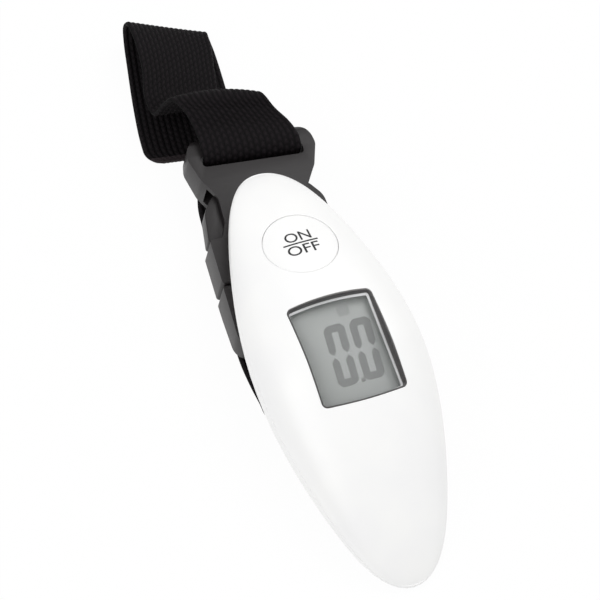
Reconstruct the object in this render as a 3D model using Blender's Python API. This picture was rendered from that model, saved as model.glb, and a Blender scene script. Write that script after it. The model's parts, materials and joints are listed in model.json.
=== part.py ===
# Digital luggage scale: leaf-shaped handle with display and button, side-release buckle and webbing strap.
# Sizes are in millimetres; MM turns them into Blender's metres.
# Body frame: +X right, +Y towards the button end, +Z out of the face, Z = 0 at the lowest line of the back.
# Buckle frame: +Y outwards from the lower edge of the web slot, +Z out of the buckle's front.

import math

import bmesh
import bpy
from mathutils import Matrix, Vector

MM = 0.001
GAP = 0.3                   # clearance between neighbouring pieces

# Housing
BODY_LENGTH = 111.3
HALF_WIDTH = 21.45
RIM_HEIGHT = 12.2           # parting line above the back, at mid length
CROWN_RISE = 11.9           # face above the parting line, at mid length
END_HEIGHT = 4.0            # where rim, crown and back meet at the two ends
LEAF_WAIST = 0.327          # the two shape numbers of the leaf outline
LEAF_SHOULDER = 0.308
RIDGE_POWER = 1.567         # how the crown falls towards the ends
RIDGE_ROUND = 0.8
FRONT_POWER = 2.3           # squareness of the cross-section, front and back
BACK_POWER = 3.0
BACK_LIFT_POWER = 6
LAND = 1.4                  # height of the flat land cut on the back
WALL = 2.0
END_WALL = 3.0
PARTING_GAP = 0.3
BODY_TILT = math.radians(9.5)
STATIONS = 36
ARC_STEPS = 16

# Display
WINDOW_Y = 1.0
WINDOW_WIDTH = 21.7
WINDOW_LENGTH = 25.7
WINDOW_CORNER = 2.0
LENS_TOP = 20.0
LENS_THICK = 1.2
LENS_LIP = 0.85             # how far the lens reaches under the window's rim
LENS_CORNER = 3.6
LCD_THICK = 2.3
LCD_LIP = 0.65
LENS_TO_LCD = 0.5
HOLDER_WALL = 1.25
HOLDER_LEDGE = 1.2
HOLDER_CORNER = 4.5
ZEBRA_DEPTH = 2.4
BEZEL_WALL = 0.5            # dark frame inside the window's edge
BEZEL_FIT = 0.1
BEZEL_DROP = 0.4            # how far it stays below the face
BOARD_THICK = 1.6
BOARD_TOP = 11.9
BOARD_MARGIN = LCD_LIP + GAP + HOLDER_WALL
BOARD_HALF_WIDTH = WINDOW_WIDTH / 2 + BOARD_MARGIN
BOARD_Y0 = WINDOW_Y - WINDOW_LENGTH / 2 - BOARD_MARGIN
BOARD_NOSE_HALF_WIDTH = 7.0
CHIP_SIZE = 9.0
CHIP_THICK = 1.3
CHIP_Y = -1.0

# Button
BUTTON_Y = 0.2803 * BODY_LENGTH
BUTTON_STAND = 0.2          # the button axis's origin above the crown line
BUTTON_TILT = math.radians(-17.9)
BUTTON_RADIUS = 9.5
BUTTON_CLEARANCE = 0.25
BUTTON_THICK = 2.5
BUTTON_TRAVEL = 0.5
FLANGE_RADIUS = 10.2
FLANGE_THICK = 0.6
SWITCH_SIZE = 5.2
SWITCH_THICK = 1.0
PLUNGER_RADIUS = 1.4
PLUNGER_RISE = 0.5
PLUNGER_Y = BUTTON_Y - 1.0
BOARD_SHOULDER_Y = BUTTON_Y - 11.2
BOARD_Y1 = BUTTON_Y + 2.8

# Load cell and strap anchor
CELL_HALF_WIDTH = 5.0
CELL_Y0 = -4.0
CELL_Y1 = BODY_LENGTH / 2 - 17.65
CELL_TOP = 8.7
CELL_THICK = 3.2
CELL_TONGUE_THICK = 2.0
CELL_TONGUE_Y1 = 5.0
CELL_FLEXURE_Y0 = 9.0
CELL_FLEXURE_Y1 = 23.0
CELL_FLEXURE_HEIGHT = 1.6
GAUGE_THICK = 0.3
CELL_SCREW_YS = (CELL_Y1 - 8.0, CELL_Y1 - 2.4)
CELL_SCREW_RADIUS = 1.3
CELL_SCREW_HEAD_RADIUS = 2.3
CELL_SCREW_HEAD = 1.0
PIN_RADIUS = 1.5
PIN_Z = 3.2
YOKE_INNER = 13.6
YOKE_PLATE = 1.2
YOKE_BAR = 1.0
YOKE_HALF_DEPTH = 3.0
YOKE_BOTTOM = 0.9
SLOT_Y0 = -4.6
SLOT_Y1 = 9.0
SLOT_CORNER = 2.0

# Battery
BATTERY_Y = -0.22462 * BODY_LENGTH
BATTERY_RADIUS = 10.0
BATTERY_THICK = 3.2
COVER_RADIUS = 12.4
COVER_THICK = 1.4
COVER_CUP_WALL = 0.8
COVER_CUP_HEIGHT = 2.4
COVER_LUG_REACH = 1.7
COVER_LUG_THICK = 0.9
COVER_LUG_HALF_ANGLE = math.radians(14)
COVER_TURN = math.radians(45)
COIN_SLOT_LENGTH = 14.0
COIN_SLOT_WIDTH = 1.8
COIN_SLOT_DEPTH = 0.8
CONTACT_THICK = 0.3
CONTACT_WIDTH = 4.0

# Case screws, from the back
CASE_SCREW_RADIUS = 1.0
CASE_SCREW_HEAD_RADIUS = 1.9
CASE_SCREW_HEAD = 1.4
CASE_SCREW_BITE = 2.0       # thread length in the front shell
BOSS_RADIUS = 2.7
END_SCREW_Y = BODY_LENGTH / 2 - 10.65
SIDE_SCREW_X = HALF_WIDTH - WALL - BOSS_RADIUS - 0.75
SIDE_SCREW_Y = BATTERY_Y + 7.5
CASE_SCREW_SPOTS = ((0.0, END_SCREW_Y), (0.0, -END_SCREW_Y),
                    (-SIDE_SCREW_X, SIDE_SCREW_Y), (SIDE_SCREW_X, SIDE_SCREW_Y))

# Buckle
BUCKLE_AT = (3.4, 62.2, 8.7)      # lower edge of the web slot, on the table's frame before settling
BUCKLE_YAW = math.radians(-7.45)
BUCKLE_PITCH = math.radians(3.5)
SOCKET_OUT = 8.7            # outer end, from the web slot's lower edge
SOCKET_IN = 32.5            # mouth, the other way
SOCKET_HALF_WIDTH = 16.4
SOCKET_HALF_THICK = 4.8
SOCKET_END_HALF_THICK = 3.4
WEB_SLOT = 3.2
WEB_SLOT_HALF_WIDTH = 13.0
WINDOW_TOP = 5.7
WINDOW_END = 20.2
PANEL_HALF_WIDTH = 11.5
MOUTH_HALF_WIDTH = 13.4
MOUTH_HALF_HEIGHT = 3.2
MOUTH_DEPTH = 28.5
PLUG_OUT = 50.4
PLUG_HALF_WIDTH = 16.2
PLUG_END_HALF_WIDTH = 15.4
PLUG_END_HALF_THICK = 3.6
PLUG_BAR = 4.6
PLUG_BAR_HALF_THICK = 2.0   # the bar is thinner than the plug, so that the web sits flush
GUIDE_HALF_WIDTH = 3.0
GUIDE_HALF_THICK = 2.4
GUIDE_TIP = 8.0
ARM_HALF_THICK = 2.8
ARM_THICK = 2.3
ARM_SHOULDER = 16.2
ARM_TIP = 7.0
BUCKLE_EDGE = 0.8

# Webbing
WEB_WIDTH = 25.0
WEB_THICK = 1.2
TABLE_CLEAR = 0.05
PIN_SIDE_PLAY = 0.4         # the strap lies this far off the pin's middle
BAR_SIDE_PLAY = 0.3


def clear_scene():
    for item in list(bpy.data.objects):
        bpy.data.objects.remove(item, do_unlink=True)


def finish(name, colour, roughness=0.45, metallic=0.0):
    made = bpy.data.materials.new(name)
    made.use_nodes = True
    shader = made.node_tree.nodes["Principled BSDF"]
    shader.inputs["Base Color"].default_value = (*colour, 1.0)
    shader.inputs["Roughness"].default_value = roughness
    shader.inputs["Metallic"].default_value = metallic
    return made


def place(item, parent, material=None, smooth=math.radians(35)):
    bpy.context.scene.collection.objects.link(item)
    item.parent = parent
    if material:
        item.data.materials.append(material)
    if item.type == "MESH":
        item.data.shade_smooth()
        item.data.set_sharp_from_angle(angle=smooth)
    return item


def empty(name, parent, at=(0, 0, 0), turn=(0, 0, 0)):
    made = bpy.data.objects.new(name, None)
    made.location = Vector(at) * MM
    made.rotation_euler = turn
    return place(made, parent)


def solid(name, points, faces, parent, material=None):
    mesh = bpy.data.meshes.new(name)
    mesh.from_pydata([Vector(p) * MM for p in points], [], faces)
    work = bmesh.new()
    work.from_mesh(mesh)
    bmesh.ops.recalc_face_normals(work, faces=work.faces)
    work.to_mesh(mesh)
    work.free()
    return place(bpy.data.objects.new(name, mesh), parent, material)


def helper(item):
    item.hide_render = True
    item.hide_viewport = False
    item.display_type = "WIRE"
    return item


def combine(item, other, operation):
    helper(other)
    step = item.modifiers.new(f"{operation.lower()}_{other.name}", "BOOLEAN")
    step.operation = operation
    step.object = other
    step.solver = "EXACT"
    return item


def cut(item, *others):
    for other in others:
        combine(item, other, "DIFFERENCE")
    return item


def join(item, *others):
    for other in others:
        combine(item, other, "UNION")
    return item


def keep(item, other):
    return combine(item, other, "INTERSECT")


def soften(item, width, segments=2):
    step = item.modifiers.new("edges", "BEVEL")
    step.width = width * MM
    step.segments = segments
    step.limit_method = "ANGLE"
    step.angle_limit = math.radians(50)
    return item


def filleted(corners, steps=4):
    # Corners are (x, y, radius); each is replaced by an arc tangent to its two sides.
    path = []
    for index, (x, y, radius) in enumerate(corners):
        here = Vector((x, y))
        before = Vector(corners[index - 1][:2]) - here
        after = Vector(corners[(index + 1) % len(corners)][:2]) - here
        if radius == 0:
            path.append((x, y))
            continue
        half = before.angle(after) / 2
        reach = radius / math.tan(half)
        centre = here + (before.normalized() + after.normalized()).normalized() * radius / math.sin(half)
        first = here + before.normalized() * reach - centre
        last = here + after.normalized() * reach - centre
        sweep = first.angle_signed(last)
        for step in range(steps + 1):
            spoke = first.copy()
            spoke.rotate(Matrix.Rotation(-sweep * step / steps, 2))
            path.append(tuple(centre + spoke))
    return path


def rectangle(width, length, radius, centre_y=0.0, centre_x=0.0):
    w, h = width / 2, length / 2
    spots = ((w, -h), (w, h), (-w, h), (-w, -h))
    return filleted([(centre_x + x, centre_y + y, radius) for x, y in spots])


def circle(radius, steps=40, centre=(0.0, 0.0)):
    turns = [2 * math.pi * (step + 0.5) / steps for step in range(steps)]
    return [(centre[0] + radius * math.cos(t), centre[1] + radius * math.sin(t)) for t in turns]


def prism(name, outline, low, high, parent, material=None, axis="Z"):
    count = len(outline)
    levels = []
    for level in (low, high):
        if axis == "Z":
            levels += [(x, y, level) for x, y in outline]
        else:
            levels += [(level, y, z) for y, z in outline]
    faces = [tuple(range(count)), tuple(range(count, 2 * count))]
    faces += [(i, (i + 1) % count, count + (i + 1) % count, count + i) for i in range(count)]
    return solid(name, levels, faces, parent, material)


def turned(name, profile, parent, material=None, steps=32, centre=(0.0, 0.0)):
    # Profile points are (radius, z), from the axis round to the axis again.
    points, rings, faces = [], [], []
    for radius, z in profile:
        if radius == 0:
            rings.append([len(points)])
            points.append((*centre, z))
            continue
        rings.append(list(range(len(points), len(points) + steps)))
        points += [(x, y, z) for x, y in circle(radius, steps, centre)]
    for low, high in zip(rings, rings[1:]):
        for i in range(steps):
            j = (i + 1) % steps
            if len(low) == 1:
                faces.append((low[0], high[i], high[j]))
            elif len(high) == 1:
                faces.append((low[i], low[j], high[0]))
            else:
                faces.append((low[i], low[j], high[j], high[i]))
    return solid(name, points, faces, parent, material)


def leaf_station(share, inset):
    # Half width, back, rim and crown of the leaf at a share of its half length.
    size = abs(share)
    shape = math.sqrt(max(0.0, 1 - size**2)) * (1 - LEAF_WAIST * size**2 + LEAF_SHOULDER * size**4)
    ridge = (1 - size**RIDGE_POWER) ** RIDGE_ROUND if size < 1 else 0.0
    rim = END_HEIGHT + (RIM_HEIGHT - END_HEIGHT) * ridge
    crown = rim + (CROWN_RISE - inset) * ridge
    depth = (rim - END_HEIGHT * size**BACK_LIFT_POWER) * (1 - inset / RIM_HEIGHT)
    return (HALF_WIDTH - inset) * shape, rim - depth, rim, crown


def leaf_point(share, angle, inset, shift):
    width, back, rim, crown = leaf_station(share, inset)
    length = BODY_LENGTH / 2 - inset * END_WALL / WALL
    power = FRONT_POWER if math.sin(angle) >= 0 else BACK_POWER
    across = math.copysign(abs(math.cos(angle)) ** (2 / power), math.cos(angle))
    rise = abs(math.sin(angle)) ** (2 / power)
    z = rim + (crown - rim) * rise if math.sin(angle) >= 0 else rim - (rim - back) * rise
    return (width * across, length * share, max(z + shift, LAND + inset))


def leaf_rows(first, last, steps, inset, shift):
    shares = [math.sin(math.pi * (row / STATIONS - 0.5)) for row in range(1, STATIONS)]
    angles = [first + (last - first) * step / steps for step in range(steps + 1)]
    return [[leaf_point(share, angle, inset, shift) for angle in angles] for share in shares]


def leaf_solid(name, inset, parent):
    rows = leaf_rows(0, 2 * math.pi, 2 * ARC_STEPS, inset, 0.0)
    count = 2 * ARC_STEPS
    points = [point for row in rows for point in row[:-1]]
    faces = []
    for row in range(len(rows) - 1):
        for i in range(count):
            j = (i + 1) % count
            faces.append((row * count + i, row * count + j, (row + 1) * count + j, (row + 1) * count + i))
    for share, row in ((-1, 0), (1, len(rows) - 1)):
        pole = len(points)
        points.append(leaf_point(share, 0, inset, 0.0))
        faces += [(row * count + i, row * count + (i + 1) % count, pole) for i in range(count)]
    return helper(solid(name, points, faces, parent))


def leaf_shell(name, front, parent, material):
    first, last = (0, math.pi) if front else (0, -math.pi)
    shift = PARTING_GAP / 2 if front else -PARTING_GAP / 2
    points, faces, rims, poles = [], [], [], []
    for inset in (0.0, WALL):
        rows = leaf_rows(first, last, ARC_STEPS, inset, shift)
        start, count = len(points), ARC_STEPS + 1
        points += [point for row in rows for point in row]
        for row in range(len(rows) - 1):
            for i in range(ARC_STEPS):
                corner = start + row * count + i
                faces.append((corner, corner + 1, corner + count + 1, corner + count))
        ends = []
        for share, row in ((-1, 0), (1, len(rows) - 1)):
            ends.append(len(points))
            points.append(leaf_point(share, 0, inset, shift))
            spots = [start + row * count + i for i in range(count)]
            faces += [(spots[i], spots[i + 1], ends[-1]) for i in range(ARC_STEPS)]
        sides = [[start + row * count + i for row in range(len(rows))] for i in (0, ARC_STEPS)]
        rims.append([[ends[0], *side, ends[1]] for side in sides])
        poles.append(ends)
    for outer, inner in zip(*rims):
        faces += [(outer[i], outer[i + 1], inner[i + 1], inner[i]) for i in range(len(outer) - 1)]
    return solid(name, points, faces, parent, material)


def strap_band(name, left, right, parent, material, steps=4, thick=WEB_THICK):
    # A flat band between two edge routes, each smoothed through its own points.
    edges = [smooth_route(route, steps) for route in (left, right)]
    points = []
    for index, (a, b) in enumerate(zip(*edges)):
        low, high = max(index - 1, 0), min(index + 1, len(edges[0]) - 1)
        along = (edges[0][high] + edges[1][high]) - (edges[0][low] + edges[1][low])
        up = (b - a).cross(along).normalized() * thick / 2
        points += [a - up, b - up, b + up, a + up]
    faces = []
    rings = len(points) // 4
    for ring in range(rings - 1):
        for i in range(4):
            j = (i + 1) % 4
            faces.append((ring * 4 + i, ring * 4 + j, ring * 4 + 4 + j, ring * 4 + 4 + i))
    faces += [(0, 1, 2, 3), tuple(rings * 4 - 4 + i for i in range(4))]
    return solid(name, points, faces, parent, material)


def smooth_route(route, steps):
    # A centripetal spline through the points, so that uneven spacing makes no loops.
    spots = [Vector(spot) for spot in route]
    padded = [2 * spots[0] - spots[1], *spots, 2 * spots[-1] - spots[-2]]
    path = []
    for index in range(len(spots) - 1):
        a, b, c, d = padded[index:index + 4]
        ab, bc, cd = (b - a).length ** 0.5, (c - b).length ** 0.5, (d - c).length ** 0.5
        leaving = (c - b) + bc * ((b - a) / ab - (c - a) / (ab + bc))
        reaching = (c - b) + bc * ((d - c) / cd - (d - b) / (bc + cd))
        for step in range(steps):
            t = step / steps
            path.append((2 * t**3 - 3 * t**2 + 1) * b + (t**3 - 2 * t**2 + t) * leaving
                        + (3 * t**2 - 2 * t**3) * c + (t**3 - t**2) * reaching)
    return path + [spots[-1]]


def tube(name, route, radius, parent, material, sides=8):
    points, faces = [], []
    for index, spot in enumerate(route):
        along = route[min(index + 1, len(route) - 1)] - route[max(index - 1, 0)]
        across = along.cross(Vector((0, 1, 0))).normalized()
        other = along.cross(across).normalized()
        for x, y in circle(radius, sides):
            points.append(spot + across * x + other * y)
    last = len(points) - sides
    for corner in range(last):
        beside = corner + 1 if (corner + 1) % sides else corner + 1 - sides
        faces.append((corner, beside, beside + sides, corner + sides))
    faces += [tuple(range(sides)), tuple(range(last, last + sides))]
    return solid(name, points, faces, parent, material)


def screw(name, parent, material, at, head_radius, head, radius, length, downwards):
    # Pan head with its shank, standing on its shank or hanging from its head.
    way = -1 if downwards else 1
    profile = [(0, 0), (head_radius * 0.8, 0), (head_radius, head * 0.4), (head_radius, head),
               (radius, head), (radius, head + length), (0, head + length)]
    spot = (at[0], at[1])
    levels = [(r, at[2] + way * z) for r, z in profile]
    return turned(name, levels, parent, material, 20, spot)


def build_front_shell(body, core, materials):
    shell = leaf_shell("front_shell", True, body, materials["case"])
    for index, (x, y) in enumerate(CASE_SCREW_SPOTS):
        boss = prism(f"front_boss_{index + 1}", circle(BOSS_RADIUS, 20, (x, y)),
                     front_boss_low(y), RIM_HEIGHT + CROWN_RISE, body)
        join(shell, keep(boss, core))
        cut(shell, prism(f"front_bore_{index + 1}", circle(CASE_SCREW_RADIUS + GAP, 16, (x, y)),
                         front_boss_low(y) - 1, front_boss_low(y) + CASE_SCREW_BITE + GAP, body))
    top = RIM_HEIGHT + CROWN_RISE + 2
    opening = prism("window_cutter", rectangle(WINDOW_WIDTH, WINDOW_LENGTH, WINDOW_CORNER, WINDOW_Y),
                    BOARD_TOP, top, body)
    lens_pocket = prism("lens_pocket", rectangle(lens_width() + 2 * GAP, lens_length() + 2 * GAP,
                                                 LENS_CORNER + GAP, WINDOW_Y),
                        BOARD_TOP, LENS_TOP + GAP, body)
    holder_pocket = prism("holder_pocket", rectangle(holder_width() + 2 * GAP, holder_length() + 2 * GAP,
                                                     HOLDER_CORNER + GAP, WINDOW_Y),
                          BOARD_TOP - 1, holder_top() + GAP, body)
    axis = empty("button_axis", body, button_spot(), (BUTTON_TILT, 0, 0))
    hole = prism("button_hole", circle(BUTTON_RADIUS + BUTTON_CLEARANCE, 48), -8, 8, axis)
    flange_pocket = prism("flange_pocket", circle(FLANGE_RADIUS + 2 * GAP, 48), -8,
                          GAP - BUTTON_THICK, axis)
    return cut(shell, holder_pocket, lens_pocket, opening, flange_pocket, hole)


def front_boss_low(y):
    # The parting line falls towards the ends, so each boss stops at its own highest or lowest side.
    return leaf_station(2 * (abs(y) - BOSS_RADIUS) / BODY_LENGTH, 0.0)[2] + PARTING_GAP / 2


def back_boss_high(y):
    return leaf_station(2 * (abs(y) + BOSS_RADIUS) / BODY_LENGTH, 0.0)[2] - PARTING_GAP / 2


def build_back_shell(body, core, materials):
    shell = leaf_shell("back_shell", False, body, materials["case"])
    floor = LAND + WALL
    for index, (x, y) in enumerate(CASE_SCREW_SPOTS):
        boss = prism(f"back_boss_{index + 1}", circle(BOSS_RADIUS, 20, (x, y)), 0, back_boss_high(y), body)
        join(shell, keep(boss, core))
        top = front_boss_low(y) + 1
        cut(shell, prism(f"back_bore_{index + 1}", circle(CASE_SCREW_RADIUS + GAP, 16, (x, y)), -2, top, body),
            prism(f"head_recess_{index + 1}", circle(CASE_SCREW_HEAD_RADIUS + GAP, 20, (x, y)), -2,
                  case_screw_base(x, y) + CASE_SCREW_HEAD + GAP, body))
    half = CELL_SCREW_HEAD_RADIUS + 1.4
    block = rectangle(2 * CELL_HALF_WIDTH - 1, CELL_SCREW_YS[1] - CELL_SCREW_YS[0] + 2 * half, 1.5,
                      (CELL_SCREW_YS[0] + CELL_SCREW_YS[1]) / 2)
    post = prism("cell_post", block, floor - WALL / 2, CELL_TOP - CELL_THICK - GAP, body)
    join(shell, post)
    for index, y in enumerate(CELL_SCREW_YS):
        cut(shell, prism(f"cell_bore_{index + 1}", circle(CELL_SCREW_RADIUS + GAP, 16, (0, y)), floor - 0.8,
                         CELL_TOP, body))
    slot_half = YOKE_INNER + YOKE_PLATE + 2 * GAP
    slot = prism("strap_slot", rectangle(2 * slot_half, SLOT_Y1 - SLOT_Y0, SLOT_CORNER,
                                         (SLOT_Y0 + SLOT_Y1) / 2), -3, floor + 4, body)
    opening = prism("battery_opening", circle(COVER_RADIUS + GAP, 48, (0, BATTERY_Y)), -3, floor + 1, body)
    for side in (0, 1):
        turn = COVER_TURN + side * math.pi
        join(opening, prism(f"lug_notch_{side + 1}", cover_lug(turn, 2 * GAP), -4, floor + 2, body))
    sweep = prism("lug_sweep", circle(COVER_RADIUS + COVER_LUG_REACH + 2 * GAP, 48, (0, BATTERY_Y)),
                  floor + 0.05, floor + COVER_LUG_THICK + 1.5, body)
    return cut(shell, slot, opening, sweep)


def case_screw_base(x, y):
    # Level of the screw head, just below the back's surface at the head's far side.
    width, back, rim, _ = leaf_station(2 * y / BODY_LENGTH, 0.0)
    across = (abs(x) + (CASE_SCREW_HEAD_RADIUS if x else 0.0)) / width
    rise = (1 - across**BACK_POWER) ** (1 / BACK_POWER)
    return max(LAND, rim - (rim - back) * rise) + GAP


def cover_lug(turn, extra=0.0):
    # Plan of a bayonet lug that sticks out of the battery cover's edge.
    inner, outer = BATTERY_RADIUS + GAP, COVER_RADIUS + COVER_LUG_REACH + extra
    spread = COVER_LUG_HALF_ANGLE + extra / COVER_RADIUS
    angles = [turn - spread + 2 * spread * step / 6 for step in range(7)]
    rim = [(outer * math.cos(a), BATTERY_Y + outer * math.sin(a)) for a in angles]
    root = [(inner * math.cos(a), BATTERY_Y + inner * math.sin(a)) for a in reversed(angles)]
    return rim + root


def lens_width():
    return WINDOW_WIDTH + 2 * LENS_LIP


def lens_length():
    return WINDOW_LENGTH + 2 * LENS_LIP


def lcd_top():
    return LENS_TOP - LENS_THICK - LENS_TO_LCD


def holder_top():
    return LENS_TOP - LENS_THICK - GAP


def holder_width():
    return WINDOW_WIDTH + 2 * (LCD_LIP + GAP + HOLDER_WALL)


def holder_length():
    return WINDOW_LENGTH + 2 * (LCD_LIP + GAP + HOLDER_WALL)


def build_display(body, materials):
    prism("display_lens", rectangle(lens_width(), lens_length(), LENS_CORNER, WINDOW_Y),
          LENS_TOP - LENS_THICK, LENS_TOP, body, materials["lens"])
    outer_width, outer_length = WINDOW_WIDTH - 2 * BEZEL_FIT, WINDOW_LENGTH - 2 * BEZEL_FIT
    bezel = prism("display_bezel", rectangle(outer_width, outer_length, WINDOW_CORNER - BEZEL_FIT, WINDOW_Y),
                  LENS_TOP + BEZEL_FIT, RIM_HEIGHT + CROWN_RISE + 1, body, materials["bezel"])
    keep(bezel, leaf_solid("bezel_trim", BEZEL_DROP, body))
    cut(bezel, prism("bezel_opening", rectangle(outer_width - 2 * BEZEL_WALL, outer_length - 2 * BEZEL_WALL,
                                                WINDOW_CORNER - BEZEL_FIT - BEZEL_WALL, WINDOW_Y),
                     LENS_TOP - 1, RIM_HEIGHT + CROWN_RISE + 2, body))
    prism("lcd_panel", rectangle(WINDOW_WIDTH + 2 * LCD_LIP, WINDOW_LENGTH + 2 * LCD_LIP, 0.4, WINDOW_Y),
          lcd_top() - LCD_THICK, lcd_top(), body, materials["lcd"])
    holder = prism("lcd_holder", rectangle(holder_width(), holder_length(), HOLDER_CORNER, WINDOW_Y),
                   BOARD_TOP + GAP, holder_top(), body, materials["holder"])
    inner_width = WINDOW_WIDTH + 2 * (LCD_LIP + GAP)
    inner_length = WINDOW_LENGTH + 2 * (LCD_LIP + GAP)
    ledge = lcd_top() - LCD_THICK - GAP
    pocket = prism("lcd_pocket", rectangle(inner_width, inner_length, 0.6, WINDOW_Y), ledge,
                   holder_top() + 1, body)
    through = prism("holder_opening", rectangle(inner_width - 2 * HOLDER_LEDGE, inner_length - 2 * HOLDER_LEDGE,
                                                0.6, WINDOW_Y), BOARD_TOP - 1, ledge + 1, body)
    cut(holder, pocket, through)
    zebra_y = WINDOW_Y + inner_length / 2 - HOLDER_LEDGE - GAP - ZEBRA_DEPTH / 2
    prism("zebra_connector", rectangle(WINDOW_WIDTH - 2 * HOLDER_LEDGE, ZEBRA_DEPTH, 0.3, zebra_y),
          BOARD_TOP + GAP, ledge, body, materials["zebra"])
    outline = filleted([(BOARD_HALF_WIDTH, BOARD_Y0, 2), (BOARD_HALF_WIDTH, BOARD_SHOULDER_Y, 3),
                        (BOARD_NOSE_HALF_WIDTH, BOARD_Y1, 2), (-BOARD_NOSE_HALF_WIDTH, BOARD_Y1, 2),
                        (-BOARD_HALF_WIDTH, BOARD_SHOULDER_Y, 3), (-BOARD_HALF_WIDTH, BOARD_Y0, 2)])
    prism("circuit_board", outline, BOARD_TOP - BOARD_THICK, BOARD_TOP, body, materials["board"])
    chip = prism("controller_chip", circle(CHIP_SIZE / 2, 28, (0, CHIP_Y)), BOARD_TOP + GAP,
                 BOARD_TOP + GAP + CHIP_THICK, body, materials["chip"])
    soften(chip, CHIP_THICK * 0.6, 3)


def build_button(body, whole, materials):
    axis = empty("button_slide", body, button_spot(), (BUTTON_TILT, 0, 0))
    cap = prism("on_off_button", circle(BUTTON_RADIUS, 48), -BUTTON_THICK, 4, axis, materials["case"])
    keep(cap, whole)
    flange = prism("button_flange", circle(FLANGE_RADIUS, 48), -BUTTON_THICK - FLANGE_THICK,
                   GAP / 2 - BUTTON_THICK - GAP / 2, axis)
    stem = prism("button_stem", circle(PLUNGER_RADIUS + 0.8, 24, (0, -(BUTTON_Y - PLUNGER_Y))),
                 -BUTTON_THICK - FLANGE_THICK - 1.5, -BUTTON_THICK, axis)
    trim = prism("stem_trim", rectangle(4 * FLANGE_RADIUS, 4 * FLANGE_RADIUS, 0, BUTTON_Y), 0, plunger_top() + GAP, body)
    join(cap, flange, cut(stem, trim))
    switch_low = BOARD_TOP + GAP
    switch = prism("tact_switch", rectangle(SWITCH_SIZE, SWITCH_SIZE, 0.4, PLUNGER_Y), switch_low,
                   switch_low + SWITCH_THICK, body, materials["chip"])
    bore = prism("plunger_bore", circle(PLUNGER_RADIUS + GAP, 24, (0, PLUNGER_Y)), switch_low + GAP,
                 switch_low + SWITCH_THICK + 1, body)
    cut(switch, bore)
    slide = empty("plunger_slide", body, (0, PLUNGER_Y, 0))
    prism("switch_plunger", circle(PLUNGER_RADIUS, 24), switch_low + GAP + BUTTON_TRAVEL + 0.15,
          plunger_top(), slide, materials["plunger"])


def button_spot():
    return (0, BUTTON_Y, leaf_station(2 * BUTTON_Y / BODY_LENGTH, 0.0)[3] + BUTTON_STAND)


def plunger_top():
    return BOARD_TOP + GAP + SWITCH_THICK + PLUNGER_RISE


def build_load_cell(body, materials):
    low, mid = CELL_TOP - CELL_THICK, CELL_TOP - CELL_TONGUE_THICK
    side = [(CELL_Y0, CELL_TOP), (CELL_Y0, mid), (CELL_TONGUE_Y1, mid), (CELL_TONGUE_Y1 + 1, low),
            (CELL_Y1, low), (CELL_Y1, CELL_TOP)]
    beam = prism("load_cell", side, -CELL_HALF_WIDTH, CELL_HALF_WIDTH, body, materials["beam"], "X")
    height = CELL_FLEXURE_HEIGHT
    flexure = [(y, low + CELL_THICK / 2 + z) for y, z in
               rectangle(CELL_FLEXURE_Y1 - CELL_FLEXURE_Y0, height, height * 0.49,
                         0, (CELL_FLEXURE_Y0 + CELL_FLEXURE_Y1) / 2)]
    reach = CELL_HALF_WIDTH + 2
    cut(beam, prism("flexure_cutter", flexure, -reach, reach, body, None, "X"))
    for index, y in enumerate(CELL_SCREW_YS):
        cut(beam, prism(f"cell_hole_{index + 1}", circle(CELL_SCREW_RADIUS + GAP, 20, (0, y)), low - 1,
                        CELL_TOP + 1, body))
        screw(f"load_cell_screw_{index + 1}", body, materials["steel"],
              (0, y, CELL_TOP + GAP + CELL_SCREW_HEAD), CELL_SCREW_HEAD_RADIUS, CELL_SCREW_HEAD,
              CELL_SCREW_RADIUS, CELL_THICK + GAP + 1.6, True)
    middle = (CELL_FLEXURE_Y0 + CELL_FLEXURE_Y1) / 2
    patch = rectangle(6, 8, 0.5, middle)
    prism("strain_gauge_upper", patch, CELL_TOP + GAP, CELL_TOP + GAP + GAUGE_THICK, body, materials["gauge"])
    prism("strain_gauge_lower", patch, low - GAP - GAUGE_THICK, low - GAP, body, materials["gauge"])
    side_x, lead_z = CELL_HALF_WIDTH + GAP, CELL_TOP - 0.8
    route = smooth_route([(side_x, middle, lead_z), (side_x + 1.6, middle, lead_z),
                          (side_x + 3.2, middle + 0.5, lead_z + 0.3),
                          (side_x + 3.8, middle + 0.6, BOARD_TOP - BOARD_THICK - GAP)], 4)
    tube("gauge_lead", route, 0.5, body, materials["lead"])


def build_anchor(body, materials):
    outer, top = YOKE_INNER + YOKE_PLATE, CELL_TOP + GAP + YOKE_BAR
    cheek = [(-YOKE_HALF_DEPTH, YOKE_BOTTOM, 1.5), (YOKE_HALF_DEPTH, YOKE_BOTTOM, 1.5),
             (YOKE_HALF_DEPTH, top, 0.4), (-YOKE_HALF_DEPTH, top, 0.4)]
    yoke = prism("strap_yoke", filleted(cheek), -outer, outer, body, materials["steel"], "X")
    inside = rectangle(4 * YOKE_HALF_DEPTH, 2 * (CELL_TOP + GAP), 0)
    cut(yoke, prism("yoke_gap", inside, -YOKE_INNER, YOKE_INNER, body, None, "X"))
    hole = [(y, PIN_Z + z) for y, z in circle(PIN_RADIUS + GAP, 24)]
    cut(yoke, prism("pin_hole", hole, -outer - 1, outer + 1, body, None, "X"))
    pin = [(y, PIN_Z + z) for y, z in circle(PIN_RADIUS, 24)]
    prism("anchor_pin", pin, -outer, outer, body, materials["steel"], "X")


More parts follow.
